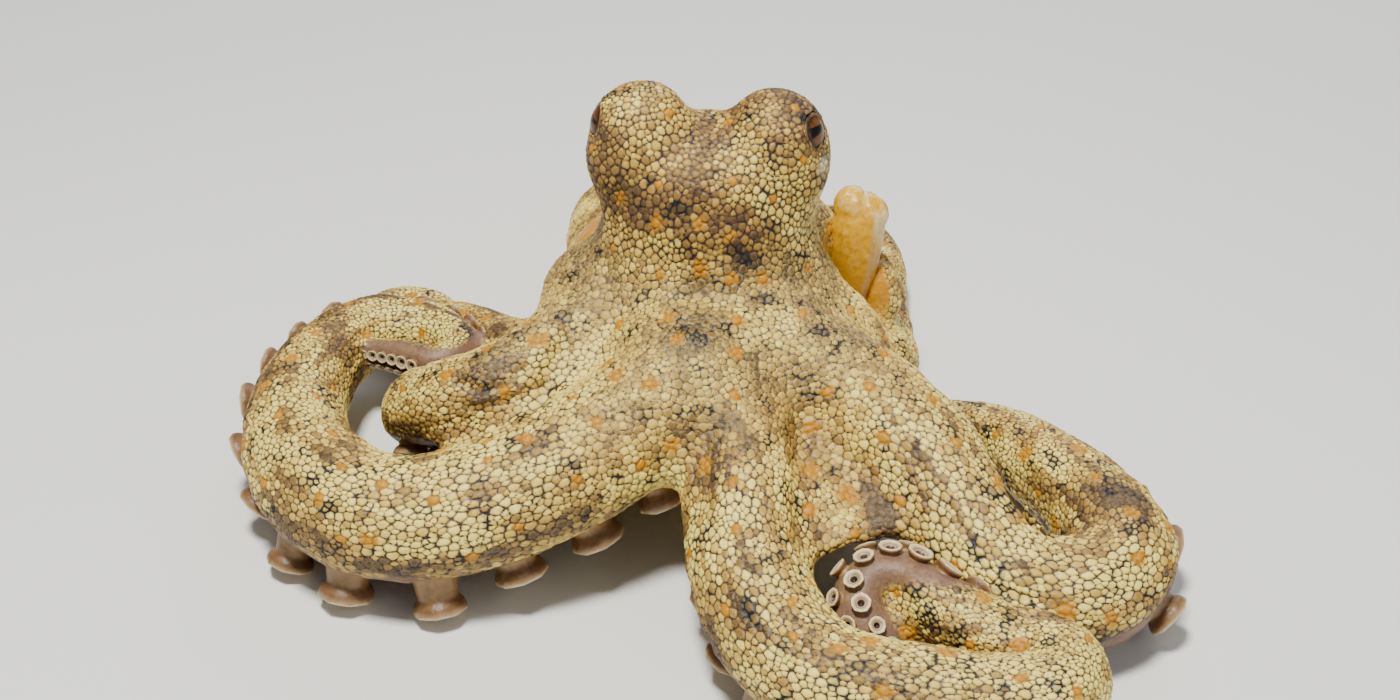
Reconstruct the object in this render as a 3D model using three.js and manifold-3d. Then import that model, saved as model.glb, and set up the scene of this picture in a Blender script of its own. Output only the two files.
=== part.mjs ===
// Common octopus at rest on the floor, life size, in millimetres and degrees, +Z up.
// The mouth is over the origin, the head faces -Y, the mantle lies behind along +Y,
// and the animal's left side is on +X.
import * as THREE from "three";
import { mergeVertices } from "three/addons/utils/BufferGeometryUtils.js";
import Module from "manifold-3d";

const wasm = await Module();
wasm.setup();

// ---- driving dimensions ----
const gap = 0.3; // clearance between neighbouring pieces
const armSides = 8;
const armStep = 18; // longest spacing of an arm's sections
const armBend = 35; // most turn between two sections
const straightTurn = 1e-6; // radians under which a stretch counts as straight
const undersideShare = 0.7; // depth of the flattened underside, as a share of the girth
const suckerSides = 6;
const suckerPitch = 1.9; // spacing along one row, as a share of the girth
const suckerRowShare = 0.42; // distance of each row from the arm's midline
const suckerStalkShare = 0.25;
const suckerDiscShare = 0.4;
const smallestSuckeredGirth = 13; // thinner stretches carry suckers too small to model here
const suckerRootShare = 0.3; // how deep below the arm's centre line a stalk starts
const suckerRiseShare = 0.22; // how far a raised sucker stands out of a rolled arm
const suckerRollLimit = 35; // arms rolled further carry their suckers square to the underside
const longestStalk = 17;

const headCentre = [0, 6, 100];
const headRadii = [31, 26, 21];
const headSegments = [16, 12];
const eyeMoundRadius = 15.5;
const eyeRadius = 8;
const eyeSegments = [12, 7];
const eyeStandOut = 1.3; // how far an eyeball rises past its mound
const eyes = {
  left: { mound: [20.4, 4, 114.5], azimuth: -27, rise: 18 },
  right: { mound: [-20.4, 6, 116], azimuth: -172, rise: 14 },
};
const neckHeight = 86; // where the head meets the crown

const crownSegments = 16;
const crownRearShare = 0.6; // the crown is shallower behind than in front
const crownNeckShare = 0.82; // its depth in front where it narrows to the neck
const crownNeckShift = 5; // how far the neck stands behind the mouth
const crownShoulder = 35; // height from which the crown narrows towards the neck
const crownProfile = [
  [0, 0],
  [24, 0],
  [31, 8],
  [33, 22],
  [42, 34],
  [54, 39],
  [60, 42],
  [55, 51],
  [46, 62],
  [35, 76],
  [29, neckHeight - gap / 2],
  [0, neckHeight - gap / 2],
];

const bodyAzimuth = 90; // plan direction of the mantle's axis
const mantleRim = [7.5, 46, 42]; // centre of the mantle's open front
const mantleSegments = 14;
// Half width, distance behind the rim: up the inside of the collar, over its lip, back to the tip.
const mantleProfile = [
  [0, 34],
  [36, 32],
  [46, 18],
  [52, 0],
  [56, 0],
  [55, 10],
  [52, 28],
  [51, 52],
  [48, 76],
  [41, 98],
  [29, 116],
  [15, 127],
  [0, 131],
];
const mantleRimFlatness = 0.57; // half height over half width at the rim
const mantleTipFlatness = 0.5;
const mantleTipHeight = 16;
const mantleTipShift = -14; // how far the tip lies to one side of the rim
const mantleSinkPower = 0.6; // under 1, so the mantle sinks soonest just behind its rim
const mantleBellyHeight = 0;

const stalkHalfWidth = 31; // the neck that joins the mantle to the head
const stalkHalfHeight = 21;
const stalkStart = [2, 8, 60];
const stalkReach = 71;
const stalkFall = 20; // how far it sinks on its way into the mantle
const stalkTaper = 0.1;
const stalkSegments = 12;

const funnelLength = 50;
const funnelFoot = [43, 30, 27];
const funnelLean = [0.17, 0.14, 1];
const funnelGirths = [6.5, 8, 8.8, 8.6, 7.4];
const funnelSides = 8;
const funnelWall = 1.8;
const funnelDepth = 30;
const funnelLobe = 3.2; // rise of the mouth's two lobes over the notches between them

const webThickness = 3;
const webRowLength = 14; // spacing of the rows across a web
const webColumns = 4;
const webRootDepth = 8; // how far a web reaches back into the crown
const webSeat = 0.35; // height of a web's edge on its arm, as a share of the girth

// Each arm: where it leaves the crown [x, y, height], its heading in plan, its stretches
// [length, turn to the left, height at the end], its girth (half thickness) at root and tip,
// the roll of its underside towards its left over part of its length, and its pieces,
// each with the number of stretches it takes.
const arms = {
  right_1: {
    start: [-18, -51, 47],
    heading: -148,
    stretches: [
      [37, -11, 34],
      [33, -20, 26],
      [32, -49, 24],
      [38, -25, 22],
      [36, -25, 22],
      [30, -28, 23],
      [23, -69, 23],
      [23, -45, 24],
      [22, -148, 25],
      [16, 12, 25],
      [26, 16, 24],
    ],
    girth: [21, 3.4],
    fullness: 2.5,
    drop: 1.5,
    roll: [0.3, 0.6, 75],
    pieces: { root: 2, middle: 2, outer: 2, bend: 2, tip: 3 },
  },
  left_1: {
    start: [9, -46, 46],
    heading: -90,
    stretches: [
      [45, 3, 30],
      [39, 29, 22],
      [33, 47, 22],
      [35, 15, 21],
      [20, 85, 20],
      [17, 83, 19],
      [13, -26, 23],
      [20, -18, 28],
      [16, 89, 29],
      [14, 86, 23],
      [12, 40, 13],
      [20, 20, 6],
      [14, -15, 4],
    ],
    girth: [17.5, 2.5],
    fullness: 2.5,
    drop: 1.2,
    roll: [0.6, 0.78, -100],
    pieces: { root: 2, middle: 2, bend: 2, outer: 2, tip: 3 },
  },
  left_2: {
    start: [38, -34, 47],
    heading: -33,
    stretches: [
      [34, -21, 36],
      [31, -10, 24],
      [22, 43, 17.5],
      [17, 50, 17],
      [19, 53, 18],
      [29, 31, 17],
      [38, 8, 15],
      [23, 31, 13],
      [20, 52, 12],
      [20, 36, 9.5],
      [16, 68, 7],
    ],
    girth: [20, 2.5],
    fullness: 3,
    drop: 1.5,
    roll: [0.3, 0.8, -55],
    pieces: { root: 2, middle: 2, bend: 2, outer: 2, tip: 3 },
  },
  right_2: {
    start: [-38, -8, 54],
    heading: -106,
    stretches: [
      [34, -55, 47],
      [28, -63, 34],
      [26, -114, 14],
      [36, -71, 10.5],
      [30, -120, 8.5],
      [21, -135, 6],
    ],
    girth: [15.5, 2.5],
    fullness: 2.5,
    drop: 1.3,
    roll: [0.2, 1, 0],
    pieces: { root: 1, knee: 2, outer: 1, tip: 2 },
  },
  left_3: {
    start: [33, 14, 31],
    heading: -18,
    stretches: [
      [17, 60, 22],
      [24, 48, 13],
      [51, -11, 11],
      [46, 21, 8.5],
      [23, 30, 6.5],
      [13, 50, 5],
    ],
    girth: [16.5, 2.5],
    fullness: 1.6,
    drop: 1.1,
    roll: [0.5, 1, 0],
    pieces: { root: 2, middle: 1, tip: 3 },
  },
  right_3: {
    start: [-34, 10, 36],
    heading: 171,
    stretches: [
      [42, -50, 16],
      [31, 19, 11.5],
      [25, 28, 9],
      [22, -123, 7],
      [23, -102, 6],
      [11, -134, 5.5],
    ],
    girth: [16, 2.5],
    fullness: 1.6,
    drop: 1.1,
    roll: [0.5, 1, 0],
    pieces: { root: 1, middle: 2, tip: 3 },
  },
  left_4: {
    start: [16, 34, 30],
    heading: 36,
    stretches: [
      [38, 33, 12.5],
      [38, 21, 10],
      [34, 4, 8],
      [20, 50, 6.5],
      [18, -10, 5.5],
      [13, -30, 4.5],
      [10, -60, 4],
    ],
    girth: [15, 2.5],
    fullness: 1.5,
    drop: 1.1,
    roll: [0.5, 1, 0],
    pieces: { root: 1, middle: 2, tip: 4 },
  },
  right_4: {
    start: [-16, 34, 30],
    heading: 136,
    stretches: [
      [40, -31, 12.5],
      [39, -33, 10],
      [47, -5, 8],
      [37, -16, 6.5],
      [19, -67, 5.5],
      [13, -86, 4.5],
      [9, -111, 4],
    ],
    girth: [15, 2.5],
    fullness: 1.5,
    drop: 1.1,
    roll: [0.5, 1, 0],
    pieces: { root: 1, middle: 2, tip: 4 },
  },
};

// Each web: the arms it joins, how far it runs out along each, how much its edge is drawn in
// and how far it sags between them.
const webs = {
  web_front: { between: ["right_1", "left_1"], reach: [36, 38], scallop: 0.5, sag: -3 },
  web_left_front: { between: ["left_1", "left_2"], reach: [62, 62], scallop: 0.1, sag: 3 },
  web_left_side: { between: ["left_2", "left_3"], reach: [84, 24], scallop: 0.3, sag: 4 },
  web_left_rear: { between: ["left_3", "left_4"], reach: [26, 24], scallop: 0.3, sag: 3 },
  web_rear: { between: ["left_4", "right_4"], reach: [22, 22], scallop: 0.3, sag: 2 },
  web_right_rear: { between: ["right_4", "right_3"], reach: [24, 24], scallop: 0.3, sag: 3 },
  web_right_side: { between: ["right_3", "right_2"], reach: [36, 44], scallop: 0.2, sag: 2 },
  web_right_front: { between: ["right_2", "right_1"], reach: [58, 76], scallop: 0.1, sag: 6 },
};

const colours = {
  skin: 0xd2b787,
  funnel: 0xc98a1e,
  eye: 0x3a1e14,
};

// ---- shared helpers ----
const radians = THREE.MathUtils.degToRad;
const smooth = THREE.MathUtils.smoothstep;

function material(colour, roughness) {
  return new THREE.MeshStandardMaterial({ color: colour, roughness, metalness: 0 });
}

const skinMaterial = material(colours.skin, 0.6);
const funnelMaterial = material(colours.funnel, 0.45);
const eyeMaterial = material(colours.eye, 0.1);

// A closed three.js geometry as a solid, after moving each vertex by place(x, y, z).
function solidOf(geometry, place = (x, y, z) => [x, y, z]) {
  geometry.deleteAttribute("normal");
  geometry.deleteAttribute("uv");
  const merged = mergeVertices(geometry, 1e-4);
  const position = merged.attributes.position;
  for (let i = 0; i < position.count; i++) {
    position.setXYZ(i, ...place(position.getX(i), position.getY(i), position.getZ(i)));
  }
  const triVerts = new Uint32Array(merged.index.array);
  const vertProperties = position.array;
  if (signedVolume(vertProperties, triVerts) < 0) {
    for (let i = 0; i < triVerts.length; i += 3) {
      const first = triVerts[i];
      triVerts[i] = triVerts[i + 1];
      triVerts[i + 1] = first;
    }
  }
  return new wasm.Manifold(new wasm.Mesh({ numProp: 3, vertProperties, triVerts }));
}

function signedVolume(xyz, triangles) {
  let six = 0;
  const corner = (i) => new THREE.Vector3().fromArray(xyz, 3 * triangles[i]);
  for (let i = 0; i < triangles.length; i += 3) {
    six += corner(i).dot(corner(i + 1).cross(corner(i + 2)));
  }
  return six / 6;
}

function meshOf(solid, name, paint) {
  const { numProp, vertProperties, triVerts } = solid.getMesh();
  const xyz = new Float32Array((vertProperties.length / numProp) * 3);
  for (let i = 0; i < xyz.length / 3; i++) {
    xyz.set(vertProperties.subarray(i * numProp, i * numProp + 3), i * 3);
  }
  const geometry = new THREE.BufferGeometry();
  geometry.setAttribute("position", new THREE.BufferAttribute(xyz, 3));
  geometry.setIndex(new THREE.BufferAttribute(triVerts, 1));
  geometry.computeVertexNormals();
  const mesh = new THREE.Mesh(geometry, paint);
  mesh.name = name;
  return mesh;
}

// The largest body of a solid, without slivers that a cut leaves behind.
function mainBody(solid) {
  const bodies = solid.decompose();
  return bodies.reduce((most, body) => (body.volume() > most.volume() ? body : most));
}

// The solid spread by the gap along each axis, to cut a neighbour with.
function spread(solid) {
  const shifts = [
    [gap, 0, 0],
    [-gap, 0, 0],
    [0, gap, 0],
    [0, -gap, 0],
    [0, 0, gap],
    [0, 0, -gap],
  ];
  return shifts.reduce((whole, shift) => whole.add(solid.translate(shift)), solid);
}

function boxesMeet(a, b) {
  const boxA = a.boundingBox();
  const boxB = b.boundingBox();
  return [0, 1, 2].every((i) => boxA.min[i] < boxB.max[i] && boxB.min[i] < boxA.max[i]);
}

// ---- arms ----
// The route of an arm: frames at any distance along its plan, with the underside's roll.
function routeOf(arm) {
  const knots = [{ s: 0, x: arm.start[0], y: arm.start[1], z: arm.start[2], h: radians(arm.heading) }];
  for (const [length, turn, height] of arm.stretches) {
    const last = knots[knots.length - 1];
    knots.push({ ...along(last, length, length, radians(turn)), s: last.s + length, z: height });
  }
  const length = knots[knots.length - 1].s;
  const slopeAt = (i) => {
    const before = knots[Math.max(i - 1, 0)];
    const after = knots[Math.min(i + 1, knots.length - 1)];
    return (after.z - before.z) / (after.s - before.s);
  };
  const girthAt = (s) => {
    const share = THREE.MathUtils.clamp(s / length, 0, 1);
    const [root, tip] = arm.girth;
    return tip + (root - tip) * Math.pow(1 - Math.pow(share, arm.fullness), arm.drop);
  };
  const frameAt = (s) => {
    let i = knots.findIndex((knot) => knot.s > s) - 1;
    if (i < 0) i = s < 0 ? 0 : knots.length - 2;
    const from = knots[i];
    const to = knots[i + 1];
    const span = to.s - from.s;
    const share = (s - from.s) / span;
    const at = along(from, s - from.s, span, radians(arm.stretches[i][1]));
    const ends = [from.z, to.z, slopeAt(i) * span, slopeAt(i + 1) * span];
    const height = hermite(...ends, share);
    const climb = hermiteSlope(...ends, share) / span;
    const girth = girthAt(s);
    const centre = new THREE.Vector3(at.x, at.y, Math.max(height, girth * undersideShare));
    const forward = new THREE.Vector3(Math.cos(at.h), Math.sin(at.h), climb).normalize();
    const right = new THREE.Vector3(Math.sin(at.h), -Math.cos(at.h), 0);
    const up = new THREE.Vector3().crossVectors(right, forward);
    const [rollFrom, rollTo, rollMost] = arm.roll;
    const roll = radians(rollMost) * smooth(s / length, rollFrom, rollTo);
    right.applyAxisAngle(forward, roll);
    up.applyAxisAngle(forward, roll);
    return { centre, forward, right, up, girth, roll };
  };
  return { frameAt, knots };
}

function along(from, distance, span, turn) {
  const part = (turn * distance) / span;
  if (Math.abs(turn) < straightTurn) {
    return { x: from.x + distance * Math.cos(from.h), y: from.y + distance * Math.sin(from.h), h: from.h };
  }
  const radius = span / turn;
  return {
    x: from.x + radius * (Math.sin(from.h + part) - Math.sin(from.h)),
    y: from.y - radius * (Math.cos(from.h + part) - Math.cos(from.h)),
    h: from.h + part,
  };
}

function hermite(a, b, slopeA, slopeB, t) {
  const t2 = t * t;
  const t3 = t2 * t;
  return a * (2 * t3 - 3 * t2 + 1) + slopeA * (t3 - 2 * t2 + t) + b * (3 * t2 - 2 * t3) + slopeB * (t3 - t2);
}

function hermiteSlope(a, b, slopeA, slopeB, t) {
  const t2 = t * t;
  return (a - b) * (6 * t2 - 6 * t) + slopeA * (3 * t2 - 4 * t + 1) + slopeB * (3 * t2 - 2 * t);
}

// Distances along an arm of the sections of one piece, closer together where the arm bends.
function sectionsOf(arm, route, first, count) {
  const sections = [route.knots[first].s];
  for (let i = first; i < first + count; i++) {
    const [length, turn] = arm.stretches[i];
    const steps = Math.max(Math.ceil(length / armStep), Math.ceil(Math.abs(turn) / armBend));
    for (let step = 1; step <= steps; step++) sections.push(route.knots[i].s + (length * step) / steps);
  }
  return sections;
}

// One length of an arm through its sections, with the suckers it carries.
function armPiece(route, sections, grow) {
  const steps = sections.length - 1;
  const flesh = solidOf(new THREE.CylinderGeometry(1, 1, 1, armSides, steps), (x, y, z) => {
    const section = Math.round((y + 0.5) * steps);
    const frame = route.frameAt(sections[section] - (section ? 0 : grow));
    const across = x * (frame.girth + grow);
    const rise = Math.max(z, -undersideShare) * (frame.girth + grow);
    return frame.centre.clone().addScaledVector(frame.right, across).addScaledVector(frame.up, rise).toArray();
  });
  return suckersBetween(route, sections[0], sections[steps], grow).reduce((whole, sucker) => whole.add(sucker), flesh);
}

// Pairs of suckers, one of each row a little ahead of the other, clear of the piece's two ends.
function suckersBetween(route, from, to, grow) {
  const suckers = [];
  const { girth } = route.frameAt((from + to) / 2);
  const pitch = suckerPitch * girth;
  const stagger = pitch / 8;
  const margin = suckerDiscShare * route.frameAt(from).girth + stagger + 2 * gap;
  const room = to - from - 2 * margin;
  if (girth < smallestSuckeredGirth || room < 0) return suckers;
  const pairs = Math.floor(room / pitch) + 1;
  for (let pair = 0; pair < pairs; pair++) {
    const s = (from + to + (2 * pair + 1 - pairs) * pitch) / 2;
    for (const side of [-1, 1]) {
      const sucker = suckerAt(route.frameAt(s + side * stagger), side, grow);
      if (sucker) suckers.push(sucker);
    }
  }
  return suckers;
}

// A stalked sucker: a short cone that widens to a flat disc, on the floor where it reaches it.
function suckerAt(frame, side, grow) {
  const { centre, right, up, girth, roll } = frame;
  const foot = centre.clone().addScaledVector(right, side * suckerRowShare * girth);
  const axis = Math.abs(roll) < radians(suckerRollLimit) ? new THREE.Vector3(0, 0, 1) : up.clone();
  const standing = axis.z === 1;
  const depth = standing ? foot.z : girth * (undersideShare + suckerRiseShare);
  if (standing && depth > girth * undersideShare + longestStalk) return null;
  const inside = suckerRootShare * girth;
  const length = depth - inside + (standing ? 0 : grow);
  const disc = suckerDiscShare * girth + grow;
  const stalk = suckerStalkShare * girth + grow;
  const turn = new THREE.Quaternion().setFromUnitVectors(new THREE.Vector3(0, 1, 0), axis);
  const middle = foot.clone().addScaledVector(axis, -inside - length / 2);
  return solidOf(new THREE.CylinderGeometry(stalk, disc, length, suckerSides), (x, y, z) => {
    return new THREE.Vector3(x, y, z).applyQuaternion(turn).add(middle).toArray();
  });
}

const routes = Object.fromEntries(Object.entries(arms).map(([name, arm]) => [name, routeOf(arm)]));

// Every length of every arm, root first, with a copy grown by the gap to cut its neighbours.
function armPieces() {
  const pieces = [];
  for (const [armName, arm] of Object.entries(arms)) {
    const route = routes[armName];
    let stretch = 0;
    for (const [pieceName, count] of Object.entries(arm.pieces)) {
      const sections = sectionsOf(arm, route, stretch, count);
      const last = sections.length - 1;
      sections[0] += stretch ? gap / 2 : 0;
      sections[last] -= gap / 2;
      const solid = armPiece(route, sections, 0);
      const cutter = armPiece(route, sections, gap);
      pieces.push({ name: "arm_" + armName + "_" + pieceName, order: pieces.length, solid, cutter });
      stretch += count;
    }
  }
  for (const piece of pieces) {
    for (const other of pieces) {
      if (other.order >= piece.order || !boxesMeet(piece.solid, other.cutter)) continue;
      piece.solid = piece.solid.subtract(other.cutter);
    }
    piece.solid = mainBody(piece.solid);
  }
  return pieces;
}

// ---- crown, webs ----
// The crown carries the eight arms and stands on the flat disc round the mouth.
function crownSolid() {
  const points = crownProfile.map(([radius, height]) => new THREE.Vector2(radius, height));
  return solidOf(new THREE.LatheGeometry(points, crownSegments), (x, y, z) => {
    const rise = smooth(y, crownShoulder, neckHeight);
    const front = THREE.MathUtils.lerp(1, crownNeckShare, rise);
    const rear = THREE.MathUtils.lerp(crownRearShare, crownNeckShare, rise);
    return [x, -z * (z < 0 ? rear : front) + crownNeckShift * rise, y];
  });
}

// A web: a curved plate between two arms, thin and drawn in at its free edge.
function webSolid(web) {
  const [routeA, routeB] = web.between.map((name) => routes[name]);
  const steps = Math.max(3, Math.round(Math.max(...web.reach) / webRowLength));
  return solidOf(new THREE.BoxGeometry(1, 1, 1, webColumns, steps, 1), (x, y, z) => {
    const across = x + 0.5;
    const bow = 4 * across * (1 - across);
    const out = (y + 0.5) * (1 - web.scallop * bow);
    const frameA = routeA.frameAt(-webRootDepth + out * (web.reach[0] + webRootDepth));
    const frameB = routeB.frameAt(-webRootDepth + out * (web.reach[1] + webRootDepth));
    const edgeA = frameA.centre.clone().setZ(frameA.centre.z + webSeat * frameA.girth);
    const edgeB = frameB.centre.clone().setZ(frameB.centre.z + webSeat * frameB.girth);
    const middle = edgeA.lerp(edgeB, across);
    middle.z = Math.max(middle.z - web.sag * bow * out, webThickness) + z * webThickness;
    return middle.toArray();
  });
}

// ---- head and eyes ----
// The head swells from its centre to an ellipsoid and to the two mounds that carry the eyes.
function headSolid() {
  const centre = new THREE.Vector3(...headCentre);
  const radii = new THREE.Vector3(...headRadii);
  const mounds = Object.values(eyes).map((eye) => new THREE.Vector3(...eye.mound).sub(centre));
  const whole = solidOf(new THREE.SphereGeometry(1, ...headSegments), (x, y, z) => {
    const way = new THREE.Vector3(x, -z, y).normalize();
    const reaches = mounds.map((mound) => reachOfSphere(way, mound, eyeMoundRadius));
    reaches.push(1 / way.clone().divide(radii).length());
    return way.multiplyScalar(Math.max(...reaches)).add(centre).toArray();
  });
  return whole.trimByPlane([0, 0, 1], neckHeight + gap / 2);
}

// How far the ray from the origin along a unit vector runs to the far side of a sphere.
function reachOfSphere(way, centre, radius) {
  const along = way.dot(centre);
  const under = along * along - centre.lengthSq() + radius * radius;
  return under > 0 ? along + Math.sqrt(under) : 0;
}

function eyeCentre(eye) {
  const out = eyeMoundRadius + eyeStandOut - eyeRadius;
  const level = out * Math.cos(radians(eye.rise));
  const azimuth = radians(eye.azimuth);
  return [
    eye.mound[0] + level * Math.cos(azimuth),
    eye.mound[1] + level * Math.sin(azimuth),
    eye.mound[2] + out * Math.sin(radians(eye.rise)),
  ];
}

function eyeball(eye, radius) {
  const centre = eyeCentre(eye);
  return solidOf(new THREE.SphereGeometry(radius, ...eyeSegments), (x, y, z) => {
    return [centre[0] + x, centre[1] - z, centre[2] + y];
  });
}

// ---- mantle, neck, funnel ----
function bodyFrame(origin) {
  const azimuth = radians(bodyAzimuth);
  const back = new THREE.Vector3(Math.cos(azimuth), Math.sin(azimuth), 0);
  const right = new THREE.Vector3(Math.sin(azimuth), -Math.cos(azimuth), 0);
  return (across, behind, height) => {
    const place = new THREE.Vector3(...origin).addScaledVector(back, behind).addScaledVector(right, across);
    return [place.x, place.y, height];
  };
}

// The mantle: a sac with an open collar in front, flattened, sinking towards its tip.
function mantleSolid() {
  const place = bodyFrame(mantleRim);
  const reach = mantleProfile[mantleProfile.length - 1][1];
  const points = mantleProfile.map(([radius, behind]) => new THREE.Vector2(radius, behind));
  return solidOf(new THREE.LatheGeometry(points, mantleSegments), (x, y, z) => {
    const share = THREE.MathUtils.clamp(y / reach, 0, 1);
    const sink = Math.pow(share, mantleSinkPower);
    const flatness = THREE.MathUtils.lerp(mantleRimFlatness, mantleTipFlatness, sink);
    const height = THREE.MathUtils.lerp(mantleRim[2], mantleTipHeight, sink) - z * flatness;
    return place(x + mantleTipShift * sink, y, Math.max(height, mantleBellyHeight));
  });
}

function neckSolid() {
  const place = bodyFrame(stalkStart);
  return solidOf(new THREE.CylinderGeometry(1, 1, 1, stalkSegments, 1), (x, y, z) => {
    const share = y + 0.5;
    const height = stalkStart[2] - stalkFall * share - z * stalkHalfHeight;
    return place(x * stalkHalfWidth * (1 - stalkTaper * share), share * stalkReach, height);
  });
}

// The funnel: a short tube that leans out of the collar and opens upward between two lobes.
function funnelSolid() {
  const axis = new THREE.Vector3(...funnelLean).normalize();
  const side = new THREE.Vector3(1, 0, 0).addScaledVector(axis, -axis.x).normalize();
  const rear = new THREE.Vector3().crossVectors(axis, side);
  const rings = funnelGirths.length - 1;
  const tube = (thinner, lowest) => {
    return solidOf(new THREE.CylinderGeometry(1, 1, 1, funnelSides, rings), (x, y, z) => {
      const share = y + 0.5;
      const ring = Math.round(share * rings);
      const girth = funnelGirths[ring] - thinner;
      const lip = ring === rings ? funnelLobe * Math.abs(x) + thinner : 0;
      const distance = lowest + share * (funnelLength - lowest) + lip;
      return new THREE.Vector3(...funnelFoot)
        .addScaledVector(axis, distance)
        .addScaledVector(side, x * girth)
        .addScaledVector(rear, z * girth)
        .toArray();
    });
  };
  return tube(0, 0).subtract(tube(funnelWall, funnelLength - funnelDepth));
}

// ---- assembly ----
function clearOfLimbs(solid) {
  const near = limbs.filter((limb) => boxesMeet(solid, limb.cutter));
  return mainBody(near.reduce((rest, limb) => rest.subtract(limb.cutter), solid));
}

function clearOf(solid, neighbours) {
  const met = neighbours.filter((neighbour) => !solid.intersect(neighbour).isEmpty());
  return mainBody(met.reduce((rest, neighbour) => rest.subtract(spread(neighbour)), solid));
}

const octopus = new THREE.Group();
const limbs = armPieces();

const crown = clearOfLimbs(crownSolid());

let head = headSolid();
for (const eye of Object.values(eyes)) {
  head = head.subtract(eyeball(eye, eyeRadius + gap));
}

const mantle = clearOfLimbs(mantleSolid());
const neck = clearOf(clearOfLimbs(neckSolid()), [crown, head, mantle]);
const funnel = clearOf(clearOfLimbs(funnelSolid()), [crown, head, mantle, neck]);

octopus.add(meshOf(head, "head", skinMaterial));
for (const [side, eye] of Object.entries(eyes)) {
  octopus.add(meshOf(eyeball(eye, eyeRadius), "eye_" + side, eyeMaterial));
}
octopus.add(meshOf(neck, "neck", skinMaterial));
octopus.add(meshOf(mantle, "mantle", skinMaterial));
octopus.add(meshOf(funnel, "funnel", funnelMaterial));
octopus.add(meshOf(crown, "crown", skinMaterial));
for (const limb of limbs) {
  octopus.add(meshOf(limb.solid, limb.name, skinMaterial));
}
const placedWebs = [];
for (const [name, web] of Object.entries(webs)) {
  const solid = clearOf(clearOfLimbs(webSolid(web)), [crown, mantle, neck, funnel, ...placedWebs]);
  placedWebs.push(solid);
  octopus.add(meshOf(solid, name, skinMaterial));
}

export default octopus;
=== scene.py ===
import math

import bpy
import numpy as np
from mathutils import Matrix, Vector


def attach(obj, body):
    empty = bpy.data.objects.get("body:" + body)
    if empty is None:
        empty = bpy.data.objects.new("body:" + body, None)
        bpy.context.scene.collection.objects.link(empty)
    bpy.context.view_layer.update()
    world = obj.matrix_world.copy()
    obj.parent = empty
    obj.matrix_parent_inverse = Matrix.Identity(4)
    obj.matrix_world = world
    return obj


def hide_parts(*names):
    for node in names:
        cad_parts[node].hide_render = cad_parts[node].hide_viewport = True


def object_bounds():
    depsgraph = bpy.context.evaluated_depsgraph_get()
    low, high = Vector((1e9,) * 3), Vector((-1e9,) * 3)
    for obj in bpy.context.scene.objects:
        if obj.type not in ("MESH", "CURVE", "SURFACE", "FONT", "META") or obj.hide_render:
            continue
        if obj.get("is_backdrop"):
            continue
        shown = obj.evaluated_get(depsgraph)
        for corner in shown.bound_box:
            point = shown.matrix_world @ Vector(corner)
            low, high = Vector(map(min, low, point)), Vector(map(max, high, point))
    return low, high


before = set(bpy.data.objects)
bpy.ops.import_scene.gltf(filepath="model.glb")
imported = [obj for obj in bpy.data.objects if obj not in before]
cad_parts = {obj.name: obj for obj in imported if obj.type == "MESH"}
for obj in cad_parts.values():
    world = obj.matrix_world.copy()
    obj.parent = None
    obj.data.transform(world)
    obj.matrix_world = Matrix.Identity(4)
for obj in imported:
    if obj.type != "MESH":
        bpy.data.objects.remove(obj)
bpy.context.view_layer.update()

import openvdb
from mathutils import Vector, kdtree, noise

print("frame loaded")

# Everything is laid out in millimetres and turned into metres when a mesh is made.
mm = 0.001

# What the rear arms have in common; a recipe may change it.
rearArm = {"fullness": 1.5, "drop": 1.1, "roll": (0.5, 1, 0), "nodes": "root middle tip"}

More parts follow.
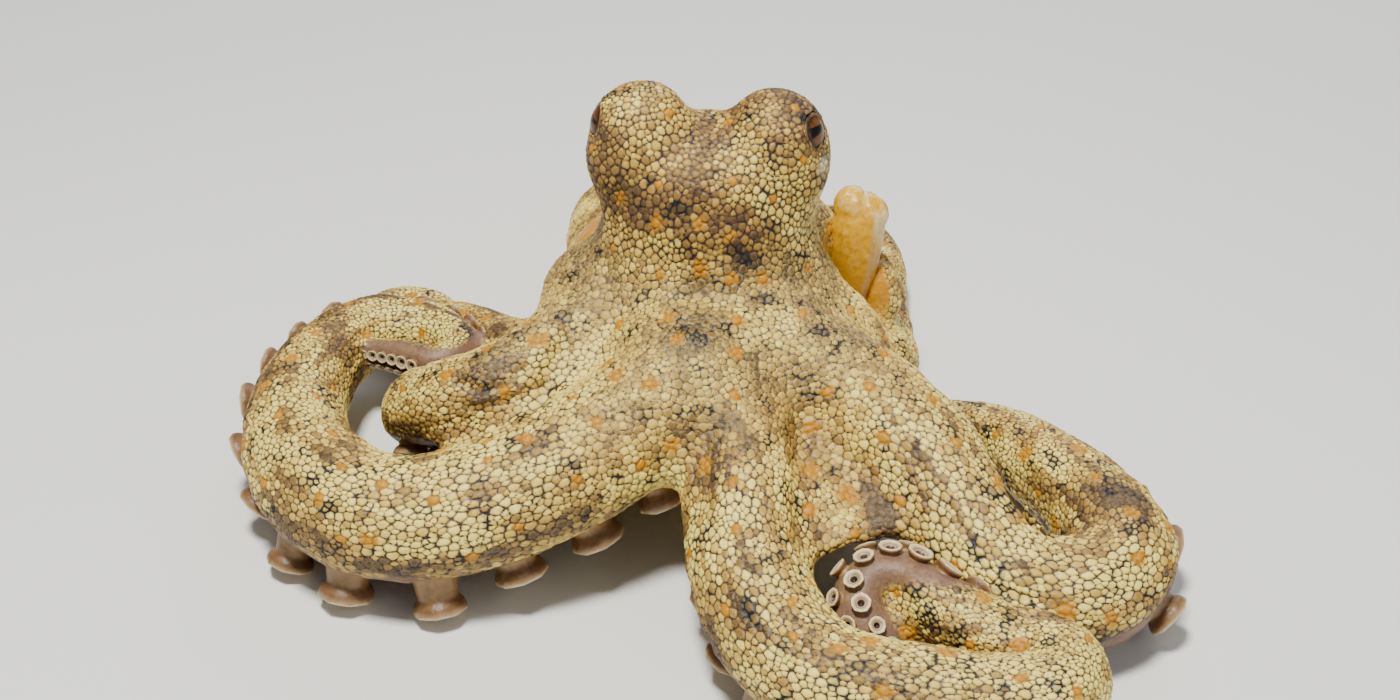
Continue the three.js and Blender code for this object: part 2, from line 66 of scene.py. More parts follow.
# Each arm: where it leaves the crown, its heading in degrees, its stretches
# (length, turn to the left, height at the end), half thickness at root and tip,
# how far its suckered side rolls out and over which part of the length (from, to, degrees),
# and from where on its sides are bare.
armRecipes = {
    "right_1": {
        "start": (-18, -51, 47), "heading": -148,
        "stretches": [(37, -11, 34), (33, -20, 26), (32, -49, 24), (38, -25, 22), (36, -25, 22), (30, -28, 23),
                      (23, -69, 23), (23, -45, 24), (22, -148, 25), (16, 12, 25), (26, 16, 24)],
        "girth": (21, 3.4), "fullness": 2.5, "drop": 1.5, "roll": (0.3, 0.6, 75), "bare": (0.8, 0.88),
        "nodes": "root middle outer bend tip"},
    "left_1": {
        "start": (9, -46, 46), "heading": -90,
        "stretches": [(45, 3, 30), (39, 29, 22), (33, 47, 22), (35, 15, 21), (20, 85, 20), (17, 83, 19),
                      (13, -26, 23), (20, -18, 28), (16, 89, 29), (14, 86, 23), (12, 40, 13), (20, 20, 6),
                      (14, -15, 4)],
        "girth": (17.5, 2.5), "fullness": 2.5, "drop": 1.2, "roll": (0.6, 0.78, -146), "bare": (0.68, 0.76),
        "nodes": "root middle bend outer tip"},
    "left_2": {
        "start": (38, -34, 47), "heading": -33,
        "stretches": [(34, -21, 36), (31, -10, 24), (22, 43, 17.5), (17, 50, 17), (19, 53, 18), (29, 31, 17),
                      (38, 8, 15), (23, 31, 13), (20, 52, 12), (20, 36, 9.5), (16, 68, 7)],
        "girth": (20, 2.5), "fullness": 3, "drop": 1.5, "roll": (0.25, 0.55, -55),
        "nodes": "root middle bend outer tip"},
    "right_2": {
        "start": (-38, -8, 54), "heading": -106,
        "stretches": [(34, -55, 47), (28, -63, 34), (26, -114, 14), (36, -71, 10.5), (30, -120, 8.5), (21, -135, 6)],
        "girth": (15.5, 2.5), "fullness": 2.5, "drop": 1.3, "roll": (0.2, 1, 0),
        "nodes": "root knee outer tip"},
    "left_3": {
        "start": (33, 14, 31), "heading": -18,
        "stretches": [(17, 60, 22), (24, 48, 13), (51, -11, 11), (46, 21, 8.5), (23, 30, 6.5), (13, 50, 5)],
        "girth": (16.5, 2.5), **rearArm, "fullness": 1.6},
    "right_3": {
        "start": (-34, 10, 36), "heading": 171,
        "stretches": [(42, -50, 16), (31, 19, 11.5), (25, 28, 9), (22, -123, 7), (23, -102, 6), (11, -134, 5.5)],
        "girth": (16, 2.5), **rearArm, "fullness": 1.6},
    "left_4": {
        "start": (16, 34, 30), "heading": 36,
        "stretches": [(38, 33, 12.5), (38, 21, 10), (34, 4, 8), (20, 50, 6.5), (18, -10, 5.5), (13, -30, 4.5),
                      (10, -60, 4)],
        "girth": (15, 2.5), **rearArm},
    "right_4": {
        "start": (-16, 34, 30), "heading": 136,
        "stretches": [(40, -31, 12.5), (39, -33, 10), (47, -5, 8), (37, -16, 6.5), (19, -67, 5.5), (13, -86, 4.5),
                      (9, -111, 4)],
        "girth": (15, 2.5), **rearArm},
}
armBuild = {
    "undersideShare": 0.74,  # depth of the flattened underside, as a share of the girth
    "startBehind": 14, "lastGap": 0.3, "shortOfTip": 0.01, "leastStep": 0.9, "stepShare": 0.11,
    "slopeStep": 0.01, "straightTurn": 1e-6,
}


def smooth(value, low, high):
    t = np.clip((value - low) / (high - low), 0, 1)
    return t * t * (3 - 2 * t)


def mix(a, b, t):
    return a + (b - a) * t


def softMin(a, b, k):
    h = np.clip(0.5 + 0.5 * (b - a) / k, 0, 1)
    return b + (a - b) * h - k * h * (1 - h)


def softMax(a, b, k):
    return -softMin(-a, -b, k)


def unit(vector):
    return vector / np.linalg.norm(vector)


def hermite(a, b, slopeA, slopeB, t):
    t2, t3 = t * t, t * t * t
    return a * (2 * t3 - 3 * t2 + 1) + slopeA * (t3 - 2 * t2 + t) + b * (3 * t2 - 2 * t3) + slopeB * (t3 - t2)


def alongArc(knot, distance, span, turn):
    x, y, heading = knot["x"], knot["y"], knot["heading"]
    if abs(turn) < armBuild["straightTurn"]:
        return x + distance * math.cos(heading), y + distance * math.sin(heading), heading
    radius, part = span / turn, turn * distance / span
    x = x + radius * (math.sin(heading + part) - math.sin(heading))
    y = y - radius * (math.cos(heading + part) - math.cos(heading))
    return x, y, heading + part


def layRoute(arm):
    x, y, z = arm["start"]
    knots = [{"s": 0.0, "x": x, "y": y, "z": z, "heading": math.radians(arm["heading"])}]
    for length, turn, height in arm["stretches"]:
        last = knots[-1]
        x, y, heading = alongArc(last, length, length, math.radians(turn))
        knots.append({"s": last["s"] + length, "x": x, "y": y, "z": height, "heading": heading})
    return knots


def slopeAt(knots, i):
    before, after = knots[max(i - 1, 0)], knots[min(i + 1, len(knots) - 1)]
    return (after["z"] - before["z"]) / (after["s"] - before["s"])


# Centre, forward, right and up of an arm at a distance s, with its girth and its curvature to the left.
def frameAt(arm, knots, s):
    i = next((n for n, knot in enumerate(knots) if knot["s"] > s), len(knots) - 1) - 1
    i = max(i, 0)
    a, b = knots[i], knots[i + 1]
    span = b["s"] - a["s"]
    turn = math.radians(arm["stretches"][i][1])
    x, y, heading = alongArc(a, s - a["s"], span, turn)
    t, tiny = (s - a["s"]) / span, armBuild["slopeStep"]
    ends = (a["z"], b["z"], slopeAt(knots, i) * span, slopeAt(knots, i + 1) * span)
    z = hermite(*ends, t)
    climb = (hermite(*ends, t + tiny) - z) / (tiny * span)
    root, tip = arm["girth"]
    share = min(max(s / knots[-1]["s"], 0), 1)
    girth = tip + (root - tip) * (1 - share ** arm["fullness"]) ** arm["drop"]
    forward = unit(np.array([math.cos(heading), math.sin(heading), climb]))
    right = np.array([math.sin(heading), -math.cos(heading), 0.0])
    up = np.cross(right, forward)
    low, high, most = arm["roll"]
    roll = math.radians(most) * float(smooth(share, low, high))
    c, r = math.cos(roll), math.sin(roll)
    return {"s": s, "centre": np.array([x, y, max(z, girth * armBuild["undersideShare"])]),
            "forward": forward, "right": right * c - up * r, "up": up * c + right * r,
            "girth": girth, "bend": turn / span,
            "bare": float(smooth(share, *arm["bare"])) if "bare" in arm else 0.0}


def sampleArm(arm):
    knots = layRoute(arm)
    length = knots[-1]["s"]
    frames, s = [], -armBuild["startBehind"]
    while s < length - armBuild["lastGap"]:
        frames.append(frameAt(arm, knots, s))
        s += max(armBuild["leastStep"], armBuild["stepShare"] * frames[-1]["girth"])
    frames.append(frameAt(arm, knots, length - armBuild["shortOfTip"]))
    samples = {key: np.array([f[key] for f in frames]) for key in frames[0]}
    samples["length"] = length
    return samples


arms = {name: sampleArm(arm) for name, arm in armRecipes.items()}


def armAt(arm, s, *keys):
    return [np.array([np.interp(s, arm["s"], arm[key][:, i]) for i in range(3)]) for key in keys]


# The body as a field of distances in millimetres, negative inside.
fieldSetup = {"low": (-162.0, -176.0, -4.5), "high": (150.0, 206.0, 141.0), "voxel": 1.8, "far": 30.0, "band": 6}
gridLow, gridHigh = np.array(fieldSetup["low"]), np.array(fieldSetup["high"])
voxel = fieldSetup["voxel"]
gridShape = np.ceil((gridHigh - gridLow) / voxel).astype(int)


def emptyField():
    return np.full(gridShape, fieldSetup["far"], np.float32)


field = emptyField()


# The slices of the grid round a box, and the coordinates of their points.
def gridBlock(low, high):
    first = np.clip(np.floor((np.array(low) - gridLow) / voxel).astype(int), 0, gridShape - 1)
    last = np.clip(np.ceil((np.array(high) - gridLow) / voxel).astype(int) + 1, 1, gridShape)
    slices = tuple(slice(a, b) for a, b in zip(first, last))
    axes = [(gridLow[i] + voxel * np.arange(first[i], last[i])).astype(np.float32) for i in range(3)]
    return slices, axes[0][:, None, None], axes[1][None, :, None], axes[2][None, None, :]


def addToField(slices, distance, k):
    field[slices] = softMin(field[slices], distance, k)


def addPiece(shape, distanceOf):
    slices, x, y, z = gridBlock(*shape["box"])
    addToField(slices, distanceOf(x, y, z), shape["join"])


def cutFromField(slices, distance, k):
    field[slices] = softMax(field[slices], -distance, k)


# Squashed balls along a line, as one distance: the underside is bottom times as deep as the girth.
def sweepBalls(target, centres, rights, forwards, ups, girths, bottom, pads):
    for centre, right, forward, up, girth, pad in zip(centres, rights, forwards, ups, girths, pads):
        slices, x, y, z = gridBlock(centre - girth - pad, centre + girth + pad)
        x, y, z = x - centre[0], y - centre[1], z - centre[2]
        side = x * right[0] + y * right[1] + z * right[2]
        ahead = x * forward[0] + y * forward[1] + z * forward[2]
        rise = x * up[0] + y * up[1] + z * up[2]
        rise = np.where(rise < 0, rise / bottom, rise)
        reach = np.sqrt(side * side + ahead * ahead + rise * rise) - girth
        target[slices] = np.minimum(target[slices], reach)


def ballDistance(x, y, z, centre, radii):
    px, py, pz = (x - centre[0]) / radii[0], (y - centre[1]) / radii[1], (z - centre[2]) / radii[2]
    length = np.sqrt(px * px + py * py + pz * pz) + 1e-6
    slope = np.sqrt((px / radii[0]) ** 2 + (py / radii[1]) ** 2 + (pz / radii[2]) ** 2) / length
    return (length - 1) / np.maximum(slope, 1e-6)


# The crown: radii by height, drawn in at the rear, and set back a little as it rises to the neck.
crownShape = {
    "box": ((-80, -80, 0), (80, 70, 100)),
    "heights": [0, 8, 22, 34, 39, 42, 51, 62, 76, 86, 96],
    "radii": [24, 31, 33, 42, 54, 60, 54, 44, 36, 33, 31],
    "rearShare": 0.6, "neckShare": 0.82, "neckShift": 5, "neckHeights": (35, 86), "top": 94, "topBlend": 4,
    "steepness": 0.8, "join": 0.01,
}


def crownDistance(x, y, z):
    crown = crownShape
    rise = smooth(z, *crown["neckHeights"])
    near, rear = mix(1, crown["neckShare"], rise), mix(crown["rearShare"], crown["neckShare"], rise)
    y = y - crown["neckShift"] * rise
    y = np.where(y < 0, y / near, y / rear)
    radius = np.interp(z[0, 0], crown["heights"], crown["radii"])[None, None, :]
    return softMax((np.sqrt(x * x + y * y) - radius) * crown["steepness"], z - crown["top"], crown["topBlend"])


addPiece(crownShape, crownDistance)

headShape = {
    "box": ((-55, -35, 70), (55, 50, 141)), "centre": (0, 6, 101), "radii": (30, 26, 18),
    "mounds": [((20.2, 4, 114.2), 15.0), ((-20.2, 6, 115.6), 15.2),  # the eye knobs
               ((24.0, 3, 106), 13.2), ((-24.0, 4, 106.5), 13.0)],   # the cheeks below them
    "moundJoin": 7, "join": 9,
}


def headDistance(x, y, z):
    head = ballDistance(x, y, z, headShape["centre"], headShape["radii"])
    for centre, radius in headShape["mounds"]:
        head = softMin(head, ballDistance(x, y, z, centre, (radius,) * 3), headShape["moundJoin"])
    return head


addPiece(headShape, headDistance)

# The arms melt into the crown near the mouth, and only touch each other further out.
armJoin = {"near": 11, "far": 0.6, "fade": (66, 96), "padReach": 100, "pads": (12.0, 4.0)}
_, x, y, z = gridBlock(gridLow, gridHigh)
joinWidth = mix(armJoin["near"], armJoin["far"], smooth(np.sqrt(x * x + y * y), *armJoin["fade"])).astype(np.float32)
for arm in arms.values():
    tube = emptyField()
    pads = np.where(np.hypot(arm["centre"][:, 0], arm["centre"][:, 1]) < armJoin["padReach"], *armJoin["pads"])
    sweepBalls(tube, arm["centre"], arm["right"], arm["forward"], arm["up"], arm["girth"],
               armBuild["undersideShare"], pads)
    field = softMin(field, tube, joinWidth)
print("arms joined to the crown")

# Each web: the two arms it joins, how far it runs out along each, how much its edge is drawn in, how far it sags.
webRecipes = {
    "web_front": ("right_1", "left_1", 36, 38, 0.5, -3),
    "web_left_front": ("left_1", "left_2", 62, 62, 0.1, 3),
    "web_left_side": ("left_2", "left_3", 84, 24, 0.3, 4),
    "web_left_rear": ("left_3", "left_4", 26, 24, 0.3, 3),
    "web_rear": ("left_4", "right_4", 22, 22, 0.3, 2),
    "web_right_rear": ("right_4", "right_3", 24, 24, 0.3, 3),
    "web_right_side": ("right_3", "right_2", 36, 44, 0.2, 2),
    "web_right_front": ("right_2", "right_1", 58, 76, 0.1, 6),
}
webShape = {
    "rowStep": 1.1, "extraRows": 8, "columns": 46, "startBehind": 8, "liftShare": 0.35, "rootDrop": 6, "lowest": 3,
    "ruffle": 1.3, "ruffleWaves": 31, "ruffleFrom": 0.75, "halfThickness": 2.0, "pad": 5.0, "margin": 9, "join": 7,
}


def webPoints(first, second, reachA, reachB, scallop, sag):
    web, points = webShape, []
    rows = int(max(reachA, reachB) / web["rowStep"]) + web["extraRows"]
    for row in range(rows):
        for column in range(web["columns"] + 1):
            across = column / web["columns"]
            bow = 4 * across * (1 - across)
            out = row / (rows - 1) * (1 - scallop * bow)
            ends = []
            for arm, reach in ((arms[first], reachA), (arms[second], reachB)):
                s = -web["startBehind"] + out * (reach + web["startBehind"])
                centre = armAt(arm, s, "centre")[0]
                centre[2] += web["liftShare"] * np.interp(s, arm["s"], arm["girth"])
                ends.append(centre)
            point = mix(ends[0], ends[1], across)
            edge = max(out - web["ruffleFrom"], 0) / (1 - web["ruffleFrom"])
            ruffle = web["ruffle"] * math.sin(web["ruffleWaves"] * across) * edge * bow
            point[2] = max(point[2] - sag * bow * out + ruffle - web["rootDrop"] * (1 - out) ** 2, web["lowest"])
            points.append(point)
    return np.array(points)


for recipe in webRecipes.values():
    points = webPoints(*recipe)
    count = len(points)
    slices = gridBlock(points.min(0) - webShape["margin"], points.max(0) + webShape["margin"])[0]
    sheet = emptyField()
    axes = [np.tile(row, (count, 1)) for row in np.eye(3)]
    sweepBalls(sheet, points, *axes, np.full(count, webShape["halfThickness"]), 1.0, np.full(count, webShape["pad"]))
    addToField(slices, sheet[slices], webShape["join"])
print("webs spread")

# The neck: flattened balls from under the head back to the mantle.
neckShape = {
    "box": ((-50, -10, 10), (60, 100, 100)), "steps": 40, "from": (2, 8, 60), "to": (2, 79, 40),
    "halfWidth": 31, "narrowing": 0.1, "halfSides": (12, 21), "join": 7,
}


def neckDistance(x, y, z):
    neck = fieldSetup["far"]
    for step in range(neckShape["steps"]):
        share = step / (neckShape["steps"] - 1)
        centre = [mix(a, b, share) for a, b in zip(neckShape["from"], neckShape["to"])]
        radii = (neckShape["halfWidth"] * (1 - neckShape["narrowing"] * share), *neckShape["halfSides"])
        neck = np.minimum(neck, ballDistance(x, y, z, centre, radii))
    return neck


addPiece(neckShape, neckDistance)

# The mantle: a flattened sac, open towards the head, that sinks to the floor behind.
mantleShape = {
    "box": ((-75, 5, 0), (85, 190, 90)), "rim": (7.5, 46, 42), "reach": 131, "tipHeight": 16, "tipShift": -14,
    "sinkPower": 0.6, "flatness": (0.57, 0.5), "endSteepness": 0.7,
    "behind": [-40, 0, 10, 28, 52, 76, 98, 116, 127, 131], "widths": [56, 56, 55, 52, 51, 48, 41, 29, 15, 0],
    "innerBehind": [-30, 0, 18, 30, 34], "innerWidths": [53, 52, 46, 36, 5], "hollowDepth": 34,
    # the rim is cut back where it is high and towards its sides
    "sideWidth": 56, "cutSlope": 1.25, "cutFrom": 45, "cutMost": 30, "cutSides": (0.35, 0.6),
    "rimBow": 8, "rimDrop": 20, "dropSides": (0.6, 1), "dropHeights": (42, 22),
    "hollowBlend": 1.5, "rimBlend": 2, "join": 2.5,
}


def mantleDistance(x, y, z):
    mantle = mantleShape
    rim, reach = mantle["rim"], mantle["reach"]
    behind = y - rim[1]
    sink = np.clip(behind / reach, 0, 1) ** mantle["sinkPower"]
    middle = mix(rim[2], mantle["tipHeight"], sink)
    flat = mix(*mantle["flatness"], sink)
    across = x - rim[0] - mantle["tipShift"] * sink
    rise = (z - middle) / flat
    rho = np.sqrt(across ** 2 + rise ** 2) + 1e-3
    slope = np.sqrt(across ** 2 + (rise / flat) ** 2) / rho

    def sac(places, widths):
        return (rho - np.interp(behind[0, :, 0], places, widths)[None, :, None]) / slope

    outer = np.maximum(sac(mantle["behind"], mantle["widths"]), (behind - reach) * mantle["endSteepness"])
    inner = np.maximum(sac(mantle["innerBehind"], mantle["innerWidths"]), behind - mantle["hollowDepth"])
    side = np.abs(across) / mantle["sideWidth"]
    cutBack = mantle["cutSlope"] * np.clip(z - mantle["cutFrom"], 0, mantle["cutMost"])
    cutBack = cutBack * smooth(side, *mantle["cutSides"])
    drop = mantle["rimDrop"] * smooth(side, *mantle["dropSides"]) * smooth(z, *mantle["dropHeights"]) * (across > 0)
    lip = cutBack - behind - mantle["rimBow"] * side ** 2 - drop
    return softMax(softMax(outer, -inner, mantle["hollowBlend"]), lip, mantle["rimBlend"])


addPiece(mantleShape, mantleDistance)

# A narrow gap left between the coils of an arm.
coilGap = {
    "along": [(86, -40), (85, -54), (87, -68), (91, -80), (96, -89)], "wide": 4.0, "low": 1, "high": 46,
    "margin": 6, "blend": 2.0,
}
for (ax, ay), (bx, by) in zip(coilGap["along"], coilGap["along"][1:]):
    margin = coilGap["margin"]
    slices, x, y, z = gridBlock((min(ax, bx) - margin, min(ay, by) - margin, coilGap["low"]),
                                (max(ax, bx) + margin, max(ay, by) + margin, coilGap["high"]))
    t = np.clip(((x - ax) * (bx - ax) + (y - ay) * (by - ay)) / ((bx - ax) ** 2 + (by - ay) ** 2), 0, 1)
    reach = np.hypot(x - ax - t * (bx - ax), y - ay - t * (by - ay)) - coilGap["wide"] + 0 * z
    cutFromField(slices, reach, coilGap["blend"])

# Hollows filled with skin: before the crown, two beside the funnel, and in the curl of the front left arm.
fillings = {
    "balls": [((-3, -31, 51), (30, 25, 24)), ((34, 37, 61), (9, 13, 13)), ((57, 37, 37), (8, 9, 15)),
              ((53, -112, 15), (9, 8, 11))],
    "margin": 8, "join": 5.0,
}
for centre, radii in fillings["balls"]:
    low, high = np.array(centre) - radii - fillings["margin"], np.array(centre) + radii + fillings["margin"]
    slices, x, y, z = gridBlock(low, high)
    addToField(slices, ballDistance(x, y, z, centre, radii), fillings["join"])
z = gridBlock(gridLow, gridHigh)[3]
field = np.maximum(field, -z)

# The eyes sit nearly flush in the mounds of the head, and lids grow from the skin round them.
eyeShape = {
    "box": ((-50, -35, 90), (50, 50, 141)), "radius": 8.0, "out": 7.9, "play": 0.1,
    "lidOut": 9.3, "lidAngle": 45, "lidJoin": 1.5, "socketBlend": 0.3,
    "rings": 26, "sides": 48, "firstAngle": 0.02, "halfAngle": 0.62 * math.pi,
    # the thin rim of the lids, a ring of oval section
    "opening": 5.5, "rimRings": 14, "rimSides": 72, "rimWide": 0.62, "rimTall": 0.5, "rimWave": 0.03,
    "rimSquash": 0.05,
    "left": {"mound": (20.4, 4, 114.5), "azimuth": -27, "rise": 18},
    "right": {"mound": (-20.4, 6, 116), "azimuth": -174, "rise": 14},
}


def eyeFrame(side):
    eye = eyeShape[side]
    azimuth, rise = math.radians(eye["azimuth"]), math.radians(eye["rise"])
    axis = np.array([math.cos(rise) * math.cos(azimuth), math.cos(rise) * math.sin(azimuth), math.sin(rise)])
    level = np.array([-math.sin(azimuth), math.cos(azimuth), 0.0])
    return np.array(eye["mound"]) + eyeShape["out"] * axis, axis, level, np.cross(axis, level)


slices, x, y, z = gridBlock(*eyeShape["box"])
for side in ("left", "right"):
    centre, axis, _, _ = eyeFrame(side)
    gapX, gapY, gapZ = x - centre[0], y - centre[1], z - centre[2]
    along = gapX * axis[0] + gapY * axis[1] + gapZ * axis[2]
    reach = np.sqrt(gapX ** 2 + gapY ** 2 + gapZ ** 2)
    across = np.sqrt(np.maximum(reach ** 2 - along ** 2, 0))
    lean = math.radians(eyeShape["lidAngle"])
    lid = np.maximum(reach - eyeShape["lidOut"], along * math.sin(lean) - across * math.cos(lean))
    addToField(slices, lid, eyeShape["lidJoin"])
    cutFromField(slices, reach - (eyeShape["radius"] - eyeShape["play"]), eyeShape["socketBlend"])


def edgesOf(quads):
    ends = np.sort(np.concatenate([quads[:, [i, (i + 1) % 4]] for i in range(4)]), axis=1)
    size = quads.max() + 1
    keys, which = np.unique(ends[:, 0] * size + ends[:, 1], return_inverse=True)
    return np.stack([keys // size, keys % size], 1), which.reshape(4, -1).T


# Keeps the largest connected surface, and drops the walls of any void inside it.
def largestPart(points, quads):
    edges, _ = edgesOf(quads)
    label = np.arange(len(points))
    while True:
        low = np.minimum(label[edges[:, 0]], label[edges[:, 1]])
        new = label.copy()
        np.minimum.at(new, edges[:, 0], low)
        np.minimum.at(new, edges[:, 1], low)
        new = new[new]
        if np.array_equal(new, label):
            break
        label = new
    kept = label == np.bincount(label).argmax()
    place = np.cumsum(kept) - 1
    return points[kept], place[quads[kept[quads[:, 0]]]]


# Evens out a mesh: each round a step towards the neighbours and a slightly longer one back, so it keeps its size.
def relax(points, quads, rounds=3, share=0.5, back=-0.52):
    edges, _ = edgesOf(quads)
    count = np.bincount(edges.ravel(), minlength=len(points))
    for step in range(2 * rounds):
        total = np.empty_like(points)
        for i in range(3):
            total[:, i] = (np.bincount(edges[:, 0], points[edges[:, 1], i], len(points))
                           + np.bincount(edges[:, 1], points[edges[:, 0], i], len(points)))
        points = points + (share if step % 2 == 0 else back) * (total / count[:, None] - points)
    return points


# One round of Catmull-Clark: finer points and quads, the values carried over, and each point's parent.
def subdivide(points, quads, values):
    edges, which = edgesOf(quads)
    size, corners = len(points), quads.ravel()
    facePoints = points[quads].mean(1)
    valence = np.bincount(corners, minlength=size)
    edgeCount = np.bincount(edges.ravel(), minlength=size)
    middles = (points[edges[:, 0]] + points[edges[:, 1]]) / 2
    edgePoints, moved = np.empty_like(middles), np.empty_like(points)
    for i in range(3):
        besides = np.bincount(which.ravel(), np.repeat(facePoints[:, i], 4), len(edges))
        edgePoints[:, i] = (2 * middles[:, i] + besides) / 4
        faceMean = np.bincount(corners, np.repeat(facePoints[:, i], 4), size) / valence
        edgeMean = np.bincount(edges.ravel(), np.repeat(middles[:, i], 2), size) / edgeCount
        moved[:, i] = (faceMean + 2 * edgeMean + (valence - 3) * points[:, i]) / valence
    fine = np.concatenate([moved, edgePoints, facePoints])
    edgeAt, faceAt = size + which, size + len(edges) + np.arange(len(quads))
    made = np.concatenate([np.stack([quads[:, i], edgeAt[:, i], faceAt, edgeAt[:, i - 1]], 1) for i in range(4)])
    carried = {key: np.concatenate([v, (v[edges[:, 0]] + v[edges[:, 1]]) / 2, v[quads].mean(1)])
               for key, v in values.items()}
    parents = np.concatenate([np.arange(size), edges[:, 0], quads[:, 0]])
    return fine, made, carried, parents


def normalsOf(points, quads):
    p = points[quads]
    facing = np.cross(p[:, 2] - p[:, 0], p[:, 3] - p[:, 1])
    normals = np.stack([np.bincount(quads.ravel(), np.repeat(facing[:, i], 4), len(points)) for i in range(3)], 1)
    return normals / np.maximum(np.linalg.norm(normals, axis=1, keepdims=True), 1e-9)


# A smoothed mesh of quads round the inside of a field, its faces turned outwards.
def meshOfField(distance, far, band, step, low):
    grid = openvdb.FloatGrid(far)
    grid.copyFromArray(np.clip(distance, -band, band).astype(np.float32))
    points, quads = grid.convertToQuads(isovalue=0.0)
    points, quads = largestPart(points.astype(float) * step + low, quads.astype(np.int64))
    points = relax(points, quads)
    if (normalsOf(points, quads) * (points - points.mean(0))).sum() < 0:
        quads = quads[:, ::-1]
    return points, quads


points, quads = meshOfField(field, fieldSetup["far"], fieldSetup["band"], voxel, gridLow)
print("skin laid:", len(points), "points")

# What each place on the skin is. A pair is the two ends of a soft edge, the first where its share is 0.
skinPlaces = {
    "arm": (1.6, 1.15), "armStart": (8, 40), "head": (74, 92), "headReach": (60, 45), "upper": (50, 72),
    "smoothReach": (1.3, 1.12), "smoothStart": (45, 80), "smoothRise": (-0.15, -0.45), "smoothBare": 0.75,
    "flankRise": (0.45, -0.25), "flankBare": 0.6,
    # the orange lining of the mantle's mouth, and of the flap of its rim beside the head
    "liningOuter": (55, 53), "liningInner": (37, 41), "liningRear": (40, 30), "liningFront": (-30, -24),
    "liningFacing": (0.8, 0.5), "flapCentre": (-41.5, 60, 50), "flapRadii": (4.5, 12, 10), "flapEdge": (1.15, 0.8),
    "paleCentre": (32.5, -3, 108.5), "paleReach": (5, 2.5),
    "lidForward": 5.5, "lidReach": (10, 7), "headStretch": 0.5, "headGrain": (0, -0.3, 0.95),
}
granules = {
    "perQuad": 9, "crown": 1.5, "head": 1.45, "eyes": 1.1, "armShare": 0.078, "arms": (0.95, 1.32), "stretch": 1.5,
    "height": 0.6, "near": 16, "largest": 1.75, "usual": 0.9, "largeShare": 0.06, "sizeSpread": (0.94, 0.12),
    "cell": 3.0, "domeReach": 1.5, "domeLow": 0.55, "inwardShare": 0.95, "edgeShare": 0.55, "random": 11,
}
joined = {key: np.concatenate([a[key] for a in arms.values()])
          for key in ("s", "centre", "forward", "right", "up", "girth", "bend", "bare")}


# The arm sample nearest to each point, and how far from it the point is in girths.
def nearestSample(points, block=4000):
    centres, girths = joined["centre"].astype(np.float32), joined["girth"].astype(np.float32)
    best, ratio = np.empty(len(points), int), np.empty(len(points))
    square = (centres ** 2).sum(1)
    for start in range(0, len(points), block):
        part = points[start:start + block].astype(np.float32)
        distance = np.sqrt(np.maximum((part ** 2).sum(1)[:, None] - 2 * part @ centres.T + square, 0)) / girths
        best[start:start + block] = distance.argmin(1)
        ratio[start:start + block] = distance.min(1)
    return best, ratio


def softEdge(value, name):
    return smooth(value, *skinPlaces[name])


best, ratio = nearestSample(points)
offset, girth = points - joined["centre"][best], joined["girth"][best]
sideShare = (offset * joined["right"][best]).sum(1) / girth
riseShare = (offset * joined["up"][best]).sum(1) / girth
alongArm, bare = joined["s"][best], joined["bare"][best]
aroundArm = np.arctan2(sideShare, riseShare) * girth
isArm = softEdge(ratio, "arm") * softEdge(alongArm, "armStart")
fromHead = np.hypot(points[:, 0] - headShape["centre"][0], points[:, 1] - headShape["centre"][1])
headness = softEdge(points[:, 2], "head") * softEdge(fromHead, "headReach")

behind = points[:, 1] - mantleShape["rim"][1]
outward = (points - (mantleShape["rim"][0], 0, mantleShape["rim"][2])) * (1, 0, 1 / mantleShape["flatness"][0])
rho = np.linalg.norm(outward, axis=1)
outwardFacing = (normalsOf(points, quads) * outward).sum(1) / np.maximum(rho, 1)
flap = np.linalg.norm((points - skinPlaces["flapCentre"]) / skinPlaces["flapRadii"], axis=1)
lining = softEdge(rho, "liningOuter") * softEdge(rho, "liningInner")
lining = lining * softEdge(behind, "liningRear") * softEdge(behind, "liningFront") * (1 - isArm)
lining = lining * softEdge(outwardFacing, "liningFacing") + softEdge(flap, "flapEdge")

values = {
    "armness": isArm,
    "headness": headness,
    "upper": softEdge(points[:, 2], "upper") * (1 - headness),
    "smoothSide": isArm * softEdge(ratio, "smoothReach") * softEdge(alongArm, "smoothStart")
    * softEdge(riseShare - skinPlaces["smoothBare"] * bare, "smoothRise"),
    # the lower flanks of the arms, darkened in the granule tone as painted shade
    "flank": isArm * softEdge(riseShare - skinPlaces["flankBare"] * bare, "flankRise"),
    "lining": lining,
    "pale": softEdge(np.linalg.norm(points - skinPlaces["paleCentre"], axis=1), "paleReach"),
    "spacing": mix(mix(granules["crown"], granules["head"], headness),
                   np.clip(granules["armShare"] * girth, *granules["arms"]), isArm),
    "girth": girth,
    "stretch": mix(1.0, granules["stretch"], np.maximum(isArm, skinPlaces["headStretch"] * headness)),
}
fromLids = np.min([np.linalg.norm(points - centre - skinPlaces["lidForward"] * axis, axis=1)
                   for centre, axis, _, _ in map(eyeFrame, ("left", "right"))], axis=0)
values["eyeSkin"] = softEdge(fromLids, "lidReach")
values["spacing"] = mix(values["spacing"], granules["eyes"], values["eyeSkin"])
forward = joined["forward"][best] * isArm[:, None] + np.array(skinPlaces["headGrain"]) * headness[:, None] + 1e-4
forward /= np.linalg.norm(forward, axis=1, keepdims=True)

rng = np.random.default_rng(granules["random"])


